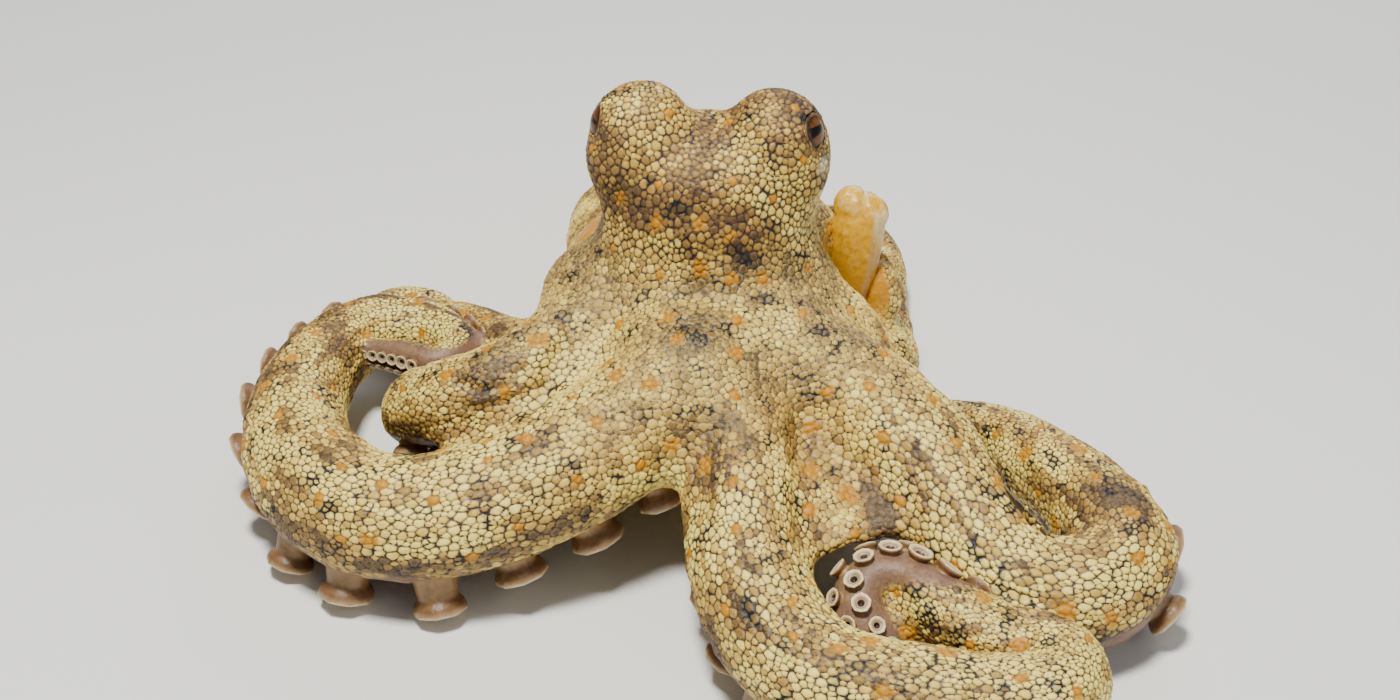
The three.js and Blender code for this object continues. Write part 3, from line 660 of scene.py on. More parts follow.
# Granules: seeds scattered over the skin, the few large ones first, each as far from the rest as their sizes ask.
def scatterSeeds():
    count = len(quads) * granules["perQuad"]
    which = rng.permutation(np.repeat(np.arange(len(quads)), granules["perQuad"]))
    u, v = rng.random(count)[:, None], rng.random(count)[:, None]
    p = points[quads[which]]
    place = (p[:, 0] * (1 - u) + p[:, 1] * u) * (1 - v) + (p[:, 3] * (1 - u) + p[:, 2] * u) * v
    corner = quads[which, 0]
    later = smooth(np.arange(count) / count, 0.0, granules["largeShare"])
    least, spread = granules["sizeSpread"]
    largeFirst = mix(granules["largest"], granules["usual"], later) * (least + spread * rng.random(count))
    radius = 0.5 * values["spacing"][corner] * largeFirst
    ahead = forward[corner]
    shrink = 1 - 1 / values["stretch"][corner] ** 2
    # seeds are kept by the cell they lie in, so each candidate meets only those in its own and the next cells
    rowSize, layerSize = 1000, 1000000
    keys = np.floor((place - gridLow) / granules["cell"]).astype(int)
    keyList = (keys[:, 0] * layerSize + keys[:, 1] * rowSize + keys[:, 2]).tolist()
    around = [a * layerSize + b * rowSize + c for a in (-1, 0, 1) for b in (-1, 0, 1) for c in (-1, 0, 1)]
    around.sort(key=abs)
    taken, kept = {}, []
    rows = np.concatenate([place, ahead], 1).tolist()
    radiusList, shrinkList = radius.tolist(), shrink.tolist()

    def isFree(key, row, own, squeeze):
        px, py, pz, fx, fy, fz = row
        for step in around:
            for qx, qy, qz, other in taken.get(key + step, ()):
                dx, dy, dz = px - qx, py - qy, pz - qz
                along = dx * fx + dy * fy + dz * fz
                if dx * dx + dy * dy + dz * dz - squeeze * along * along < (own + other) ** 2:
                    return False
        return True

    for i, key in enumerate(keyList):
        if isFree(key, rows[i], radiusList[i], shrinkList[i]):
            taken.setdefault(key, []).append((*rows[i][:3], radiusList[i]))
            kept.append(i)
    return place[kept], which[kept], radius[kept]


seeds, seedQuad, seedRadius = scatterSeeds()
seedCorner = quads[seedQuad, 0]
seedForward, seedShrink = forward[seedCorner], 1 - 1 / values["stretch"][seedCorner] ** 2
seedRandom = rng.random(len(seeds))
print("granules placed:", len(seeds))


def treeOf(places):
    tree = kdtree.KDTree(len(places))
    for i, place in enumerate(places):
        tree.insert(place, i)
    tree.balance()
    return tree


tree = treeOf(seeds)
nearSeeds = np.array([[found[1] for found in tree.find_n(p, granules["near"])] for p in points])
coarseNormals = normalsOf(points, quads)

# Slow swells and hollows of the skin, the folds where it gathers, and fine ridges along and across the arms.
skinSwell = {
    "waves": ((0.09, 1), (0.23, 0.5)), "height": 0.7, "headHeight": 0.35, "girths": (4, 12), "fullCrease": 1.6,
    "ridgeWaves": 1.45, "ridgeSway": 1.2, "ridgeSwayWaves": 0.11, "ridgeGirths": (4, 10), "ridgeHeight": 0.16,
    "wrinkleWaves": 1.7, "wrinkleBends": (0.35, 0.9), "wrinkleHeight": 0.2,
}
folds = [
    {"along": [(-2, -24, 76), (-1, -37, 63), (0, -55, 57), (-1, -72, 51), (-2, -86, 44)], "wide": 6.0, "deep": 1.8},
    {"along": [(28, -27, 64), (28, -46, 51), (25, -66, 43), (24, -95, 36)], "wide": 4.0, "deep": 1.6},
    {"along": [(-42, -30, 66), (-47, -38, 58), (-50, -46, 53), (-56, -60, 52), (-68, -64, 48)],
     "wide": 3.0, "deep": 3.2},
    {"along": [(42, 14, 72), (43, 6, 68), (44, -4, 63), (46, -16, 58)], "wide": 2.2, "deep": 1.6},
    {"along": [(-76, -42, 55), (-69, -44, 53), (-63, -44, 54), (-55, -40, 59)], "wide": 1.5, "deep": 1.9},
    {"along": [(-78, -43, 49), (-69, -46, 48), (-61, -46, 50), (-53, -41, 55)], "wide": 1.5, "deep": 2.0},
    {"along": [(-80, -43, 43), (-70, -47, 43), (-62, -48, 46)], "wide": 1.4, "deep": 1.8},
    {"along": [(51, -44, 60), (60, -50, 56), (68, -58, 51), (76, -66, 45)], "wide": 3.5, "deep": 1.2},
]


def nearLine(places, line):
    nearest = np.full(len(places), np.inf)
    for a, b in zip(line, line[1:]):
        a, b = np.array(a, float), np.array(b, float)
        t = np.clip((places - a) @ (b - a) / ((b - a) @ (b - a)), 0, 1)
        nearest = np.minimum(nearest, ((places - a - t[:, None] * (b - a)) ** 2).sum(1))
    return np.sqrt(nearest)


# Two sizes of noise added up, each a (frequency, share).
def noiseAt(places, waves):
    (slow, full), (quick, part) = waves
    return np.array([full * noise.noise(Vector(p) * slow) + part * noise.noise(Vector(p) * quick) for p in places])


swell = noiseAt(points, skinSwell["waves"])
swellHeight = mix(skinSwell["height"], skinSwell["headHeight"], headness)
swell *= swellHeight * smooth(girth, *skinSwell["girths"]) * (1 - lining)
# how deep each point lies in a fold, used only to paint shade into the folds
creased = np.zeros(len(points))
for fold in folds:
    depth = np.exp(-(nearLine(points, fold["along"]) / fold["wide"]) ** 2)
    swell -= fold["deep"] * depth
    creased = np.maximum(creased, depth * min(fold["deep"] / skinSwell["fullCrease"], 1))
sway = skinSwell["ridgeSway"] * np.sin(alongArm * skinSwell["ridgeSwayWaves"])
ridge = np.sin(aroundArm * skinSwell["ridgeWaves"] + sway) * isArm
ridge = ridge * smooth(girth, *skinSwell["ridgeGirths"]) * skinSwell["ridgeHeight"]
innerBend = joined["bend"][best] * -np.sign(sideShare) * girth
wrinkle = np.sin(alongArm * skinSwell["wrinkleWaves"]) * isArm * smooth(innerBend, *skinSwell["wrinkleBends"])
wrinkle *= skinSwell["wrinkleHeight"]
shift = coarseNormals * (swell + (ridge + wrinkle) * (1 - values["smoothSide"]))[:, None]
points = points + shift
seeds = seeds + shift[quads[seedQuad]].mean(1)
values["creased"] = creased


# The second round of refining leaves out the underside, whose faces take in the split edges of their neighbours.
def refineUpper(points, quads, values, wanted):
    edges, which = edgesOf(quads)
    fine, made, carried, parents = subdivide(points, quads, values)
    normals = normalsOf(fine, made)
    split = np.bincount(which[wanted].ravel(), minlength=len(edges)) > 0
    upperQuads = made.reshape(4, len(quads), 4)[:, wanted].reshape(-1, 4)
    rest, restEdges = quads[~wanted], which[~wanted]
    cuts = split[restEdges]
    mixed = cuts.any(1)
    rings = []
    for quad, edge, cut in zip(rest[mixed].tolist(), restEdges[mixed].tolist(), cuts[mixed].tolist()):
        ring = []
        for i in range(4):
            ring.append(quad[i])
            if cut[i]:
                ring.append(len(points) + edge[i])
        rings.append(ring)
    madeQuads = np.concatenate([upperQuads, rest[~mixed]])
    used = np.zeros(len(fine), bool)
    used[madeQuads.ravel()] = True
    used[np.concatenate(rings)] = True
    place = np.cumsum(used) - 1
    rings = [place[ring].tolist() for ring in rings]
    carried = {key: v[used] for key, v in carried.items()}
    return fine[used], place[madeQuads], rings, carried, parents[used], normals[used]


underside = {"facing": -0.25, "height": 1.2, "smoothSide": 0.6}
finer, finerQuads, finerValues, parentsOne = subdivide(points, quads, values)
middles, facing = finer[finerQuads].mean(1), normalsOf(finer, finerQuads)[finerQuads].mean(1)
underneath = ((facing[:, 2] < underside["facing"]) | (middles[:, 2] < underside["height"])
              | (finerValues["smoothSide"][finerQuads].mean(1) > underside["smoothSide"]))
refined = refineUpper(finer, finerQuads, finerValues, ~underneath)
finePoints, fineQuads, fineRings, fineValues, parents, fineNormals = refined
parents = parentsOne[parents]
print("skin refined:", len(finePoints), "points")


# Each place's own granule, how far inside it the place lies, and the granule's rounded height there.
def granuleRelief(places, candidates):
    squares = np.empty(candidates.shape, np.float32)
    for n in range(candidates.shape[1]):
        seed = candidates[:, n]
        gap = places - seeds[seed]
        along = (gap * seedForward[seed]).sum(1)
        squares[:, n] = (gap ** 2).sum(1) - seedShrink[seed] * along ** 2
    powers = squares - seedRadius[candidates] ** 2
    rows = np.arange(len(places))
    order = powers.argmin(1)
    nearest, first = candidates[rows, order], powers[rows, order]
    border = np.full(len(places), 9.0, np.float32)
    for n in range(candidates.shape[1]):
        other = candidates[:, n]
        gap = seeds[nearest] - seeds[other]
        along = (gap * seedForward[nearest]).sum(1)
        between = np.sqrt(np.maximum((gap ** 2).sum(1) - seedShrink[nearest] * along ** 2, 1e-4))
        distance = (powers[:, n] - first) / (2 * between)
        border = np.where(other == nearest, border, np.minimum(border, distance))
    radius = seedRadius[nearest]
    dome = np.sqrt(np.clip(1 - squares[rows, order] / (granules["domeReach"] * radius) ** 2, 0, 1))
    inward = np.clip(border / (granules["inwardShare"] * radius), 0, 1)
    edge = np.sqrt(1 - (1 - np.clip(border / (granules["edgeShare"] * radius), 0, 1)) ** 2)
    return nearest, inward, edge * mix(granules["domeLow"], 1.0, dome)


nearest, inward, pebble = granuleRelief(finePoints, nearSeeds[parents])
print("granules raised")

# Orange spots: a few well-spaced places of the upper skin.
spots = {
    "share": 0.10, "spacing": 15.0, "spacingSpread": (0.5, 0.9), "radius": 2.5, "radiusSpread": (0.6, 0.6, 0.618),
    "edge": (1.0, 0.7), "roughness": 0.6, "alongShare": 0.4, "squeeze": 1.5,
    "facing": -0.1, "smoothSide": 0.1, "girth": 6, "eyeSkin": 0.1, "lining": 0.1,
}
upper = (coarseNormals[seedCorner][:, 2] > spots["facing"]) & (girth[seedCorner] > spots["girth"])
for key in ("smoothSide", "eyeSkin", "lining"):
    upper &= values[key][seedCorner] < spots[key]
spotPlaces, spotForward = [], []
least, spread = spots["spacingSpread"]
for i in np.nonzero(upper & (seedRandom < spots["share"]))[0]:
    limit = spots["spacing"] * (least + spread * seedRandom[i] / spots["share"])
    if all(np.abs(seeds[i] - place).max() > limit for place in spotPlaces):
        spotPlaces.append(seeds[i])
        spotForward.append(seedForward[i] * (spots["alongShare"] if headness[seedCorner[i]] < 0.5 else 0))
spotPlaces, spotForward = np.array(spotPlaces), np.array(spotForward)
print("spots:", len(spotPlaces))
tree = treeOf(spotPlaces)
nearSpot = np.array([tree.find(p)[1] for p in points])[parents]
gap = finePoints - spotPlaces[nearSpot]
reach = np.sqrt((gap ** 2).sum(1) - spots["squeeze"] * (gap * spotForward[nearSpot]).sum(1) ** 2)
least, spread, golden = spots["radiusSpread"]
spotSize = spots["radius"] * (least + spread * (nearSpot * golden % 1))
spotted = smooth(reach / spotSize + spots["roughness"] * (seedRandom[nearest] - 0.5), *spots["edge"])

# The tone of each granule: slow patches, streaks along the arms and a little chance, darker in some places, among
# them painted shade on the lower flanks of the arms and in the folds.
granuleTone = {
    "middle": 0.66, "patches": 0.62, "patchWaves": ((0.045, 1), (0.16, 0.6)), "streaks": 0.95,
    "streakWaves": (0.035, 0.33, 7.0), "chance": 0.42, "chanceStep": 7.3,
    # granules deep in a fold are darker as painted shade
    "darker": {"flank": 0.35, "headness": 0.24, "creased": 0.16, "upper": 0.18}, "crownDarker": 0.06,
}
patches = noiseAt(seeds, granuleTone["patchWaves"])
alongWaves, aroundWaves, layer = granuleTone["streakWaves"]
streak = np.array([noise.noise(Vector((a * alongWaves, b * aroundWaves, layer)))
                   for a, b in zip(alongArm[seedCorner], aroundArm[seedCorner])])
cellTone = (granuleTone["middle"] + granuleTone["patches"] * patches
            + granuleTone["streaks"] * streak * isArm[seedCorner]
            + granuleTone["chance"] * (seedRandom * granuleTone["chanceStep"] % 1 - 0.5))
for key, share in granuleTone["darker"].items():
    cellTone = cellTone - share * values[key][seedCorner]
cellTone = cellTone - granuleTone["crownDarker"] * (1 - isArm - headness)[seedCorner]

granuleRise = {
    "smoothShare": 0.1, "eyeShare": 0.5, "least": 0.7, "chance": 0.3, "bySize": 0.35, "usualSize": 0.9, "spots": 0.4,
    "girths": (1.5, 6), "level": 0.75,
}
bareness = np.maximum(fineValues["smoothSide"], fineValues["lining"])
relief = fineValues["spacing"] * granules["height"] * mix(1.0, granuleRise["smoothShare"], bareness)
size = seedRadius[nearest] / (0.5 * fineValues["spacing"]) - granuleRise["usualSize"]
relief *= mix(1.0, granuleRise["eyeShare"], fineValues["eyeSkin"]) * (
    granuleRise["least"] + granuleRise["chance"] * seedRandom[nearest] + granuleRise["bySize"] * size)
relief *= (1 + granuleRise["spots"] * spotted) * smooth(fineValues["girth"], *granuleRise["girths"])
finePoints = finePoints + fineNormals * (relief * (pebble - granuleRise["level"]))[:, None]
finePoints[:, 2] = np.maximum(finePoints[:, 2], 0)


def newObject(name, data):
    made = bpy.data.objects.new(name, data)
    bpy.context.scene.collection.objects.link(made)
    return made


# A smooth mesh of quads and, after them, faces of any other size, with a value per point for each attribute.
def newMesh(name, points, quads, values, rings=()):
    loops = np.concatenate([np.asarray(quads).ravel(), *[np.asarray(ring) for ring in rings]]).astype(np.int32)
    sizes = np.concatenate([np.full(len(quads), 4), [len(ring) for ring in rings]]).astype(np.int32)
    mesh = bpy.data.meshes.new(name)
    mesh.vertices.add(len(points))
    mesh.vertices.foreach_set("co", (np.asarray(points) * mm).astype(np.float32).ravel())
    mesh.loops.add(len(loops))
    mesh.loops.foreach_set("vertex_index", loops)
    mesh.polygons.add(len(sizes))
    mesh.polygons.foreach_set("loop_start", np.concatenate([[0], np.cumsum(sizes)[:-1]]).astype(np.int32))
    mesh.update(calc_edges=True)
    mesh.validate()
    for key, value in values.items():
        mesh.attributes.new(key, "FLOAT", "POINT").data.foreach_set("value", np.asarray(value, np.float32))
    mesh.polygons.foreach_set("use_smooth", np.ones(len(mesh.polygons), bool))
    return newObject(name, mesh)


carriedValues = ("smoothSide", "headness", "armness", "upper", "lining", "pale", "creased")
skin = newMesh("skin", finePoints, fineQuads, {
    "pebble": pebble,
    "inward": inward,
    "cellTone": cellTone[nearest],
    "spot": spotted,
    **{key: fineValues[key] for key in carriedValues},
}, fineRings)
print("skin made:", len(skin.data.polygons), "faces")


# The quads between rings of points that follow each other.
def ringFaces(rings, sides, start=0):
    faces = []
    for ring in range(rings - 1):
        for i in range(sides):
            j = (i + 1) % sides
            a, b = start + ring * sides, start + (ring + 1) * sides
            faces.append((a + i, a + j, b + j, b + i))
    return faces


suckerShape = {
    "first": 7.0, "tipGap": 2, "rowShare": 0.42, "footShare": 0.62, "tilt": 22, "reachShare": 0.30,
    "discShare": 0.40, "discSpread": (0.94, 0.12), "leastDisc": 0.9,
    "pitchShare": (0.66, 0.98), "growth": (6, 16), "extraPitch": 0.25,
    # a sucker that faces the floor reaches down to it, unless the floor is far
    "facesFloor": 0.75, "floorGap": 0.7, "reachLimits": (0.1, 0.85), "hangShare": 0.34, "straighten": 0.8,
    "sides": (10, 16), "finerFrom": 3.2, "stalkInside": 0.3, "leastStalk": 1.3, "holeDepth": 0.56,
    "ripple": 0.03, "rippleTones": (0.45, 0.7),
    # radius in disc radii, height as a share of the stalk, and the tone as below
    "stalk": [(1.02, 1.0, 0.0), (0.84, 0.6, 0.04)],
    # radius and height in disc radii, and the tone: 0 the brown stalk, 0.5 the pale rim, 1 the dark hole, painted
    # shade in the sucker's pit
    "profile": [(0.76, -0.62, 0.08), (0.78, -0.50, 0.12), (0.90, -0.40, 0.18), (0.98, -0.26, 0.24),
                (1.02, -0.12, 0.34), (1.0, 0.0, 0.48), (0.93, 0.06, 0.56), (0.84, 0.03, 0.5),
                (0.68, -0.05, 0.62), (0.52, -0.12, 0.68), (0.42, -0.16, 0.6), (0.34, -0.24, 0.8),
                (0.26, -0.42, 0.95), (0.12, -0.55, 1.0)],
}


# Where a sucker of an arm's left or right row sits: its top, its axis and how far it stands out.
def placeSucker(centre, right, up, girth, disc, side):
    shape = suckerShape
    foot = centre + side * shape["rowShare"] * girth * right - shape["footShare"] * girth * up
    tilt = math.radians(shape["tilt"])
    axis = unit(-up * math.cos(tilt) + side * right * math.sin(tilt))
    reach = shape["reachShare"] * girth
    if -axis[2] > shape["facesFloor"]:
        least, most = shape["reachLimits"]
        reach = max((foot[2] - shape["floorGap"]) / -axis[2], least * girth)
        reach = reach if reach < most * girth else shape["hangShare"] * girth
        axis = unit(axis + np.array([0, 0, -shape["straighten"] * (1 + axis[2])]))
    top = foot + axis * reach
    lowest = top[2] - disc * math.sqrt(max(1 - axis[2] ** 2, 0))
    if lowest < shape["floorGap"]:
        top = top + np.array([0, 0, shape["floorGap"] - lowest])
    return top, axis, reach


def makeSuckers():
    shape = suckerShape
    allPoints, quads, fans, tones = [], [], [], []
    coarse, fine = shape["sides"]
    least, spread = shape["discSpread"]
    low, high = shape["rippleTones"]
    for arm in arms.values():
        s, side = shape["first"], -1
        while s < arm["length"] - shape["tipGap"]:
            centre, right, up, forward = armAt(arm, s, "centre", "right", "up", "forward")
            girth = float(np.interp(s, arm["s"], arm["girth"]))
            grown = float(smooth(girth, *shape["growth"]))
            disc = max(shape["discShare"] * girth * (least + spread * rng.random()), shape["leastDisc"])
            s += mix(*shape["pitchShare"], grown) * girth / 2 + shape["extraPitch"]
            top, axis, reach = placeSucker(centre, right, up, girth, disc, side)
            side = -side
            first = unit(np.cross(axis, forward))
            second = np.cross(axis, first)
            sides = fine if disc > shape["finerFrom"] else coarse
            stalk = max(reach / disc + shape["stalkInside"], shape["leastStalk"])
            profile = [(radius, -stalk * share, tone) for radius, share, tone in shape["stalk"]] + shape["profile"]
            start = len(allPoints)
            for radius, height, tone in profile:
                for k in range(sides):
                    angle = 2 * math.pi * k / sides
                    ripple = 1 + (shape["ripple"] * math.cos(angle * sides / 2) if low < tone < high else 0)
                    around = first * math.cos(angle) + second * math.sin(angle)
                    allPoints.append(top + disc * (radius * ripple * around + axis * height))
                    tones.append(tone)
            quads.extend(ringFaces(len(profile), sides, start))
            middle, last = len(allPoints), len(allPoints) - sides
            # the bottom of the pit takes the darkest tone, painted shade
            allPoints.append(top - axis * disc * shape["holeDepth"])
            tones.append(1.0)
            fans.extend((last + k, last + (k + 1) % sides, middle) for k in range(sides))
    return newMesh("suckers", allPoints, quads, {"tone": tones}, fans)


suckers = makeSuckers()
print("suckers made:", len(suckers.data.polygons), "faces")


def makeEye(side):
    centre, axis, level, above = eyeFrame(side)
    rings, sides, radius = eyeShape["rings"], eyeShape["sides"], eyeShape["radius"]
    points, levels, rises = [], [], []
    for ring in range(rings):
        angle = eyeShape["firstAngle"] + eyeShape["halfAngle"] * ring / (rings - 1)
        for k in range(sides):
            turn = 2 * math.pi * k / sides
            a, b = math.sin(angle) * math.cos(turn), math.sin(angle) * math.sin(turn)
            points.append(centre + radius * (axis * math.cos(angle) + level * a + above * b))
            levels.append(a * radius)
            rises.append(b * radius)
    quads = [f[::-1] for f in ringFaces(rings, sides)]
    return newMesh("eyeball_" + side, points, quads, {"level": levels, "rise": rises}, [range(sides)])


def makeLid(side):
    centre, axis, level, above = eyeFrame(side)
    eye, rings, sides = eyeShape, eyeShape["rimRings"], eyeShape["rimSides"]
    lift = math.sqrt(eye["radius"] ** 2 - eye["opening"] ** 2)
    points, quads = [], []
    for k in range(sides):
        turn = 2 * math.pi * k / sides
        outward = level * math.cos(turn) + above * math.sin(turn)
        squash = 1 - eye["rimSquash"] * math.sin(turn) ** 2
        major = eye["opening"] * (1.0 + eye["rimWave"] * math.sin(3 * turn)) * squash
        following = (k + 1) % sides
        for ring in range(rings):
            angle = 2 * math.pi * ring / rings
            points.append(centre + axis * (lift + eye["rimTall"] * math.sin(angle))
                          + outward * (major + eye["rimWide"] * math.cos(angle)))
            after = (ring + 1) % rings
            quads.append((k * rings + ring, k * rings + after, following * rings + after, following * rings + ring))
    look = {"pebble": 0.8, "inward": 1.0, "cellTone": 0.12, "headness": 1.0}
    return newMesh("eyelid_" + side, points, quads, {key: [value] * len(points) for key, value in look.items()})


eyes = {side: makeEye(side) for side in ("left", "right")}
lids = {side: makeLid(side) for side in ("left", "right")}

# The funnel: a thick closed tube ending in two round lobes with a notch between them.
funnelShape = {
    "foot": (43, 30, 27), "lean": (0.17, 0.14, 1), "length": 48,
    "voxel": 0.7, "far": 9.0, "band": 4, "margin": (14, 14, 4), "boxSize": (40, 40, 66), "steps": 50,
    "shares": [0, 0.2, 0.45, 0.65, 0.82, 0.92], "girths": [5.6, 7.6, 9.0, 9.5, 9.1, 7.6], "depthShare": 0.86,
    "lobeAcross": 3.4, "lobeShares": (1.0, 0.95), "lobeRadius": 5.9, "lobeJoin": 2.2,
    "notch": 52.3, "wedge": 0.35, "notchBlend": 1.2,
    # height, folds round the tube and sway along it
    "folds": (0.22, 7, 3), "foldsFrom": (0.1, 0.5), "fineFolds": (0.1, 17, 9), "roughness": 0.3, "roughWaves": 0.5,
}


def makeFunnel():
    funnel = funnelShape
    axis = unit(np.array(funnel["lean"], float))
    side = unit(np.array([1.0, 0, 0]) - axis * axis[0])
    foot, step = np.array(funnel["foot"], float), funnel["voxel"]
    low = foot - funnel["margin"]
    size = np.ceil((np.array(funnel["boxSize"])) / step).astype(int)
    x, y, z = (low[i] + step * np.arange(size[i]).reshape([-1 if j == i else 1 for j in range(3)]) for i in range(3))
    shape = np.full(size, funnel["far"])
    for share in np.linspace(0, funnel["shares"][-1], funnel["steps"]):
        centre = foot + axis * share * funnel["length"]
        girth = np.interp(share, funnel["shares"], funnel["girths"])
        shape = np.minimum(shape, ballDistance(x, y, z, centre, (girth, girth * funnel["depthShare"], girth)))
    for which, share in zip((-1, 1), funnel["lobeShares"]):
        centre = foot + axis * share * funnel["length"] + side * which * funnel["lobeAcross"]
        shape = softMin(shape, ballDistance(x, y, z, centre, (funnel["lobeRadius"],) * 3), funnel["lobeJoin"])
    across, along = ((x - foot[0]) * way[0] + (y - foot[1]) * way[1] + (z - foot[2]) * way[2] for way in (side, axis))
    notch = np.abs(across) - funnel["wedge"] * (along - funnel["notch"])
    shape = softMax(shape, -notch, funnel["notchBlend"])
    points, quads = meshOfField(shape, funnel["far"], funnel["band"], step, low)
    gap = points - foot
    level = (gap @ axis) / funnel["length"]
    turn = np.arctan2(gap @ np.cross(axis, side), gap @ side)
    high, count, sway = funnel["folds"]
    folds = high * np.sin(count * turn + sway * level) * smooth(level, *funnel["foldsFrom"])
    high, count, sway = funnel["fineFolds"]
    folds = folds + high * np.sin(count * turn + sway * level)
    rough = np.array([noise.noise(Vector(p) * funnel["roughWaves"]) for p in points]) * funnel["roughness"]
    points = points + normalsOf(points, quads) * (folds + rough)[:, None]
    return newMesh("funnel_skin", points, quads, {"level": level})


funnel = makeFunnel()
print("eyes and funnel made")


def newMaterial(name, roughness):
    made = bpy.data.materials.new(name)
    made.use_nodes = True
    shader = made.node_tree.nodes["Principled BSDF"]
    shader.inputs["Roughness"].default_value = roughness
    return made, made.node_tree, shader


def linkOrSet(tree, socket, value):
    if isinstance(value, (int, float)):
        socket.default_value = value
    elif isinstance(value, tuple):
        socket.default_value = (*value, 1)
    else:
        tree.links.new(value, socket)


def attributeNode(tree, name):
    node = tree.nodes.new("ShaderNodeAttribute")
    node.attribute_name = name
    return node.outputs["Fac"]


def mathNode(tree, operation, *values, clamp=False):
    node = tree.nodes.new("ShaderNodeMath")
    node.operation, node.use_clamp = operation, clamp
    for socket, value in zip(node.inputs, values):
        linkOrSet(tree, socket, value)
    return node.outputs[0]


def times(tree, a, b):
    return mathNode(tree, "MULTIPLY", a, b)


def mixColour(tree, share, a, b, blend="MIX"):
    node = tree.nodes.new("ShaderNodeMix")
    node.data_type, node.blend_type = "RGBA", blend
    for socket, value in ((node.inputs["Factor"], share), (node.inputs[6], a), (node.inputs[7], b)):
        linkOrSet(tree, socket, value)
    return node.outputs[2]


def noiseNode(tree, scale, detail=3, roughness=0.55):
    node = tree.nodes.new("ShaderNodeTexNoise")
    node.inputs["Scale"].default_value = scale
    node.inputs["Detail"].default_value = detail
    node.inputs["Roughness"].default_value = roughness
    coordinates = tree.nodes.new("ShaderNodeTexCoord")
    tree.links.new(coordinates.outputs["Object"], node.inputs["Vector"])
    return node.outputs["Fac"]


def rampNode(tree, value, *stops):
    node = tree.nodes.new("ShaderNodeValToRGB")
    tree.links.new(value, node.inputs["Fac"])
    elements = node.color_ramp.elements
    while len(elements) < len(stops):
        elements.new(0.5)
    for element, (place, colour) in zip(elements, stops):
        element.position = place
        element.color = (*colour, 1) if isinstance(colour, tuple) else (colour, colour, colour, 1)
    return node.outputs["Color"]


# Shared effects, each a node group round a fine noise: a speckle to multiply a colour by, and a grain for the normal.
def newGroup(name, inputs, output, detail):
    group = bpy.data.node_groups.new(name, "ShaderNodeTree")
    for label, start in inputs.items():
        group.interface.new_socket(label, in_out="INPUT", socket_type="NodeSocketFloat").default_value = start
    group.interface.new_socket(output[0], in_out="OUTPUT", socket_type=output[1])
    given, result = group.nodes.new("NodeGroupInput"), group.nodes.new("NodeGroupOutput")
    fine, place = group.nodes.new("ShaderNodeTexNoise"), group.nodes.new("ShaderNodeTexCoord")
    fine.inputs["Detail"].default_value = detail
    group.links.new(place.outputs["Object"], fine.inputs["Vector"])
    group.links.new(given.outputs["Scale"], fine.inputs["Scale"])
    return group, given.outputs, fine.outputs["Fac"], result.inputs[output[0]]


def speckleGroup():
    inputs = {"Scale": 500.0, "Low": 0.8, "High": 1.1}
    group, given, fine, result = newGroup("speckle", inputs, ("Factor", "NodeSocketFloat"), 3)
    spread = group.nodes.new("ShaderNodeMapRange")
    spread.inputs["From Min"].default_value, spread.inputs["From Max"].default_value = 0.3, 0.7
    group.links.new(fine, spread.inputs["Value"])
    group.links.new(given["Low"], spread.inputs["To Min"])
    group.links.new(given["High"], spread.inputs["To Max"])
    group.links.new(spread.outputs["Result"], result)
    return group


def grainGroup():
    inputs = {"Scale": 1500.0, "Distance": 0.0002, "Strength": 0.5}
    group, given, fine, result = newGroup("grain", inputs, ("Normal", "NodeSocketVector"), 4)
    bump = group.nodes.new("ShaderNodeBump")
    group.links.new(fine, bump.inputs["Height"])
    group.links.new(given["Distance"], bump.inputs["Distance"])
    group.links.new(given["Strength"], bump.inputs["Strength"])
    group.links.new(bump.outputs["Normal"], result)
    return group


speckle, grain = speckleGroup(), grainGroup()


def groupNode(tree, group, inputs):
    node = tree.nodes.new("ShaderNodeGroup")
    node.node_tree = group
    for name, value in inputs.items():
        linkOrSet(tree, node.inputs[name], value)
    return node.outputs[0]


# Ends a material: its colour times the speckle, and the grain when it has one.
def finishMaterial(tree, shader, colour, finish):
    colour = mixColour(tree, 1.0, colour, groupNode(tree, speckle, finish["speckle"]), "MULTIPLY")
    tree.links.new(colour, shader.inputs["Base Color"])
    if "grain" in finish:
        tree.links.new(groupNode(tree, grain, finish["grain"]), shader.inputs["Normal"])
    if "specular" in finish:
        shader.inputs["Specular IOR Level"].default_value = finish["specular"]


def srgb(*values):
    return tuple(v / 12.92 if v <= 0.04045 else ((v + 0.055) / 1.055) ** 2.4 for v in (c / 255 for c in values))


skinFinish = {
    "roughness": 0.46, "specular": 0.4,
    "speckle": {"Scale": 1100.0, "Low": 0.84, "High": 1.08},
    "grain": {"Scale": 1600.0, "Distance": 0.00025, "Strength": 0.6},
    # granules, from dark to light
    "brown": srgb(82, 60, 36), "tan": srgb(156, 120, 52), "sand": srgb(216, 180, 78), "cream": srgb(250, 226, 118),
    "rim": srgb(226, 196, 112), "headRim": srgb(190, 150, 74), "orange": srgb(192, 130, 0),
    # the grooves between them: on the arms (their own tone darkened further as painted shade), on the upper crown, in
    # the dark flecks and in the orange spots
    "grooveAndShade": srgb(62, 42, 34), "veil": srgb(70, 68, 56), "dark": srgb(18, 20, 26), "amber": srgb(200, 140, 8),
    # bare skin
    "purple": srgb(104, 72, 56), "slate": srgb(138, 108, 88),
    "lining": srgb(190, 130, 0), "white": srgb(246, 236, 204),
    "rimShare": 0.5, "crownRim": 0.35, "veilShare": 0.85, "amberShare": 0.6, "foldShadeShare": 0.12, "bareShare": 0.92,
    "paleShare": 0.85, "fleckScale": 130, "spotScale": 700, "bareScale": 120,
    # how much lower the granules stand in the colour, so the dark grooves, partly painted shade, are wider there
    "lower": {"armness": 0.12, "headness": 0.15, "upper": 0.08}, "fleckLower": 0.3,
}


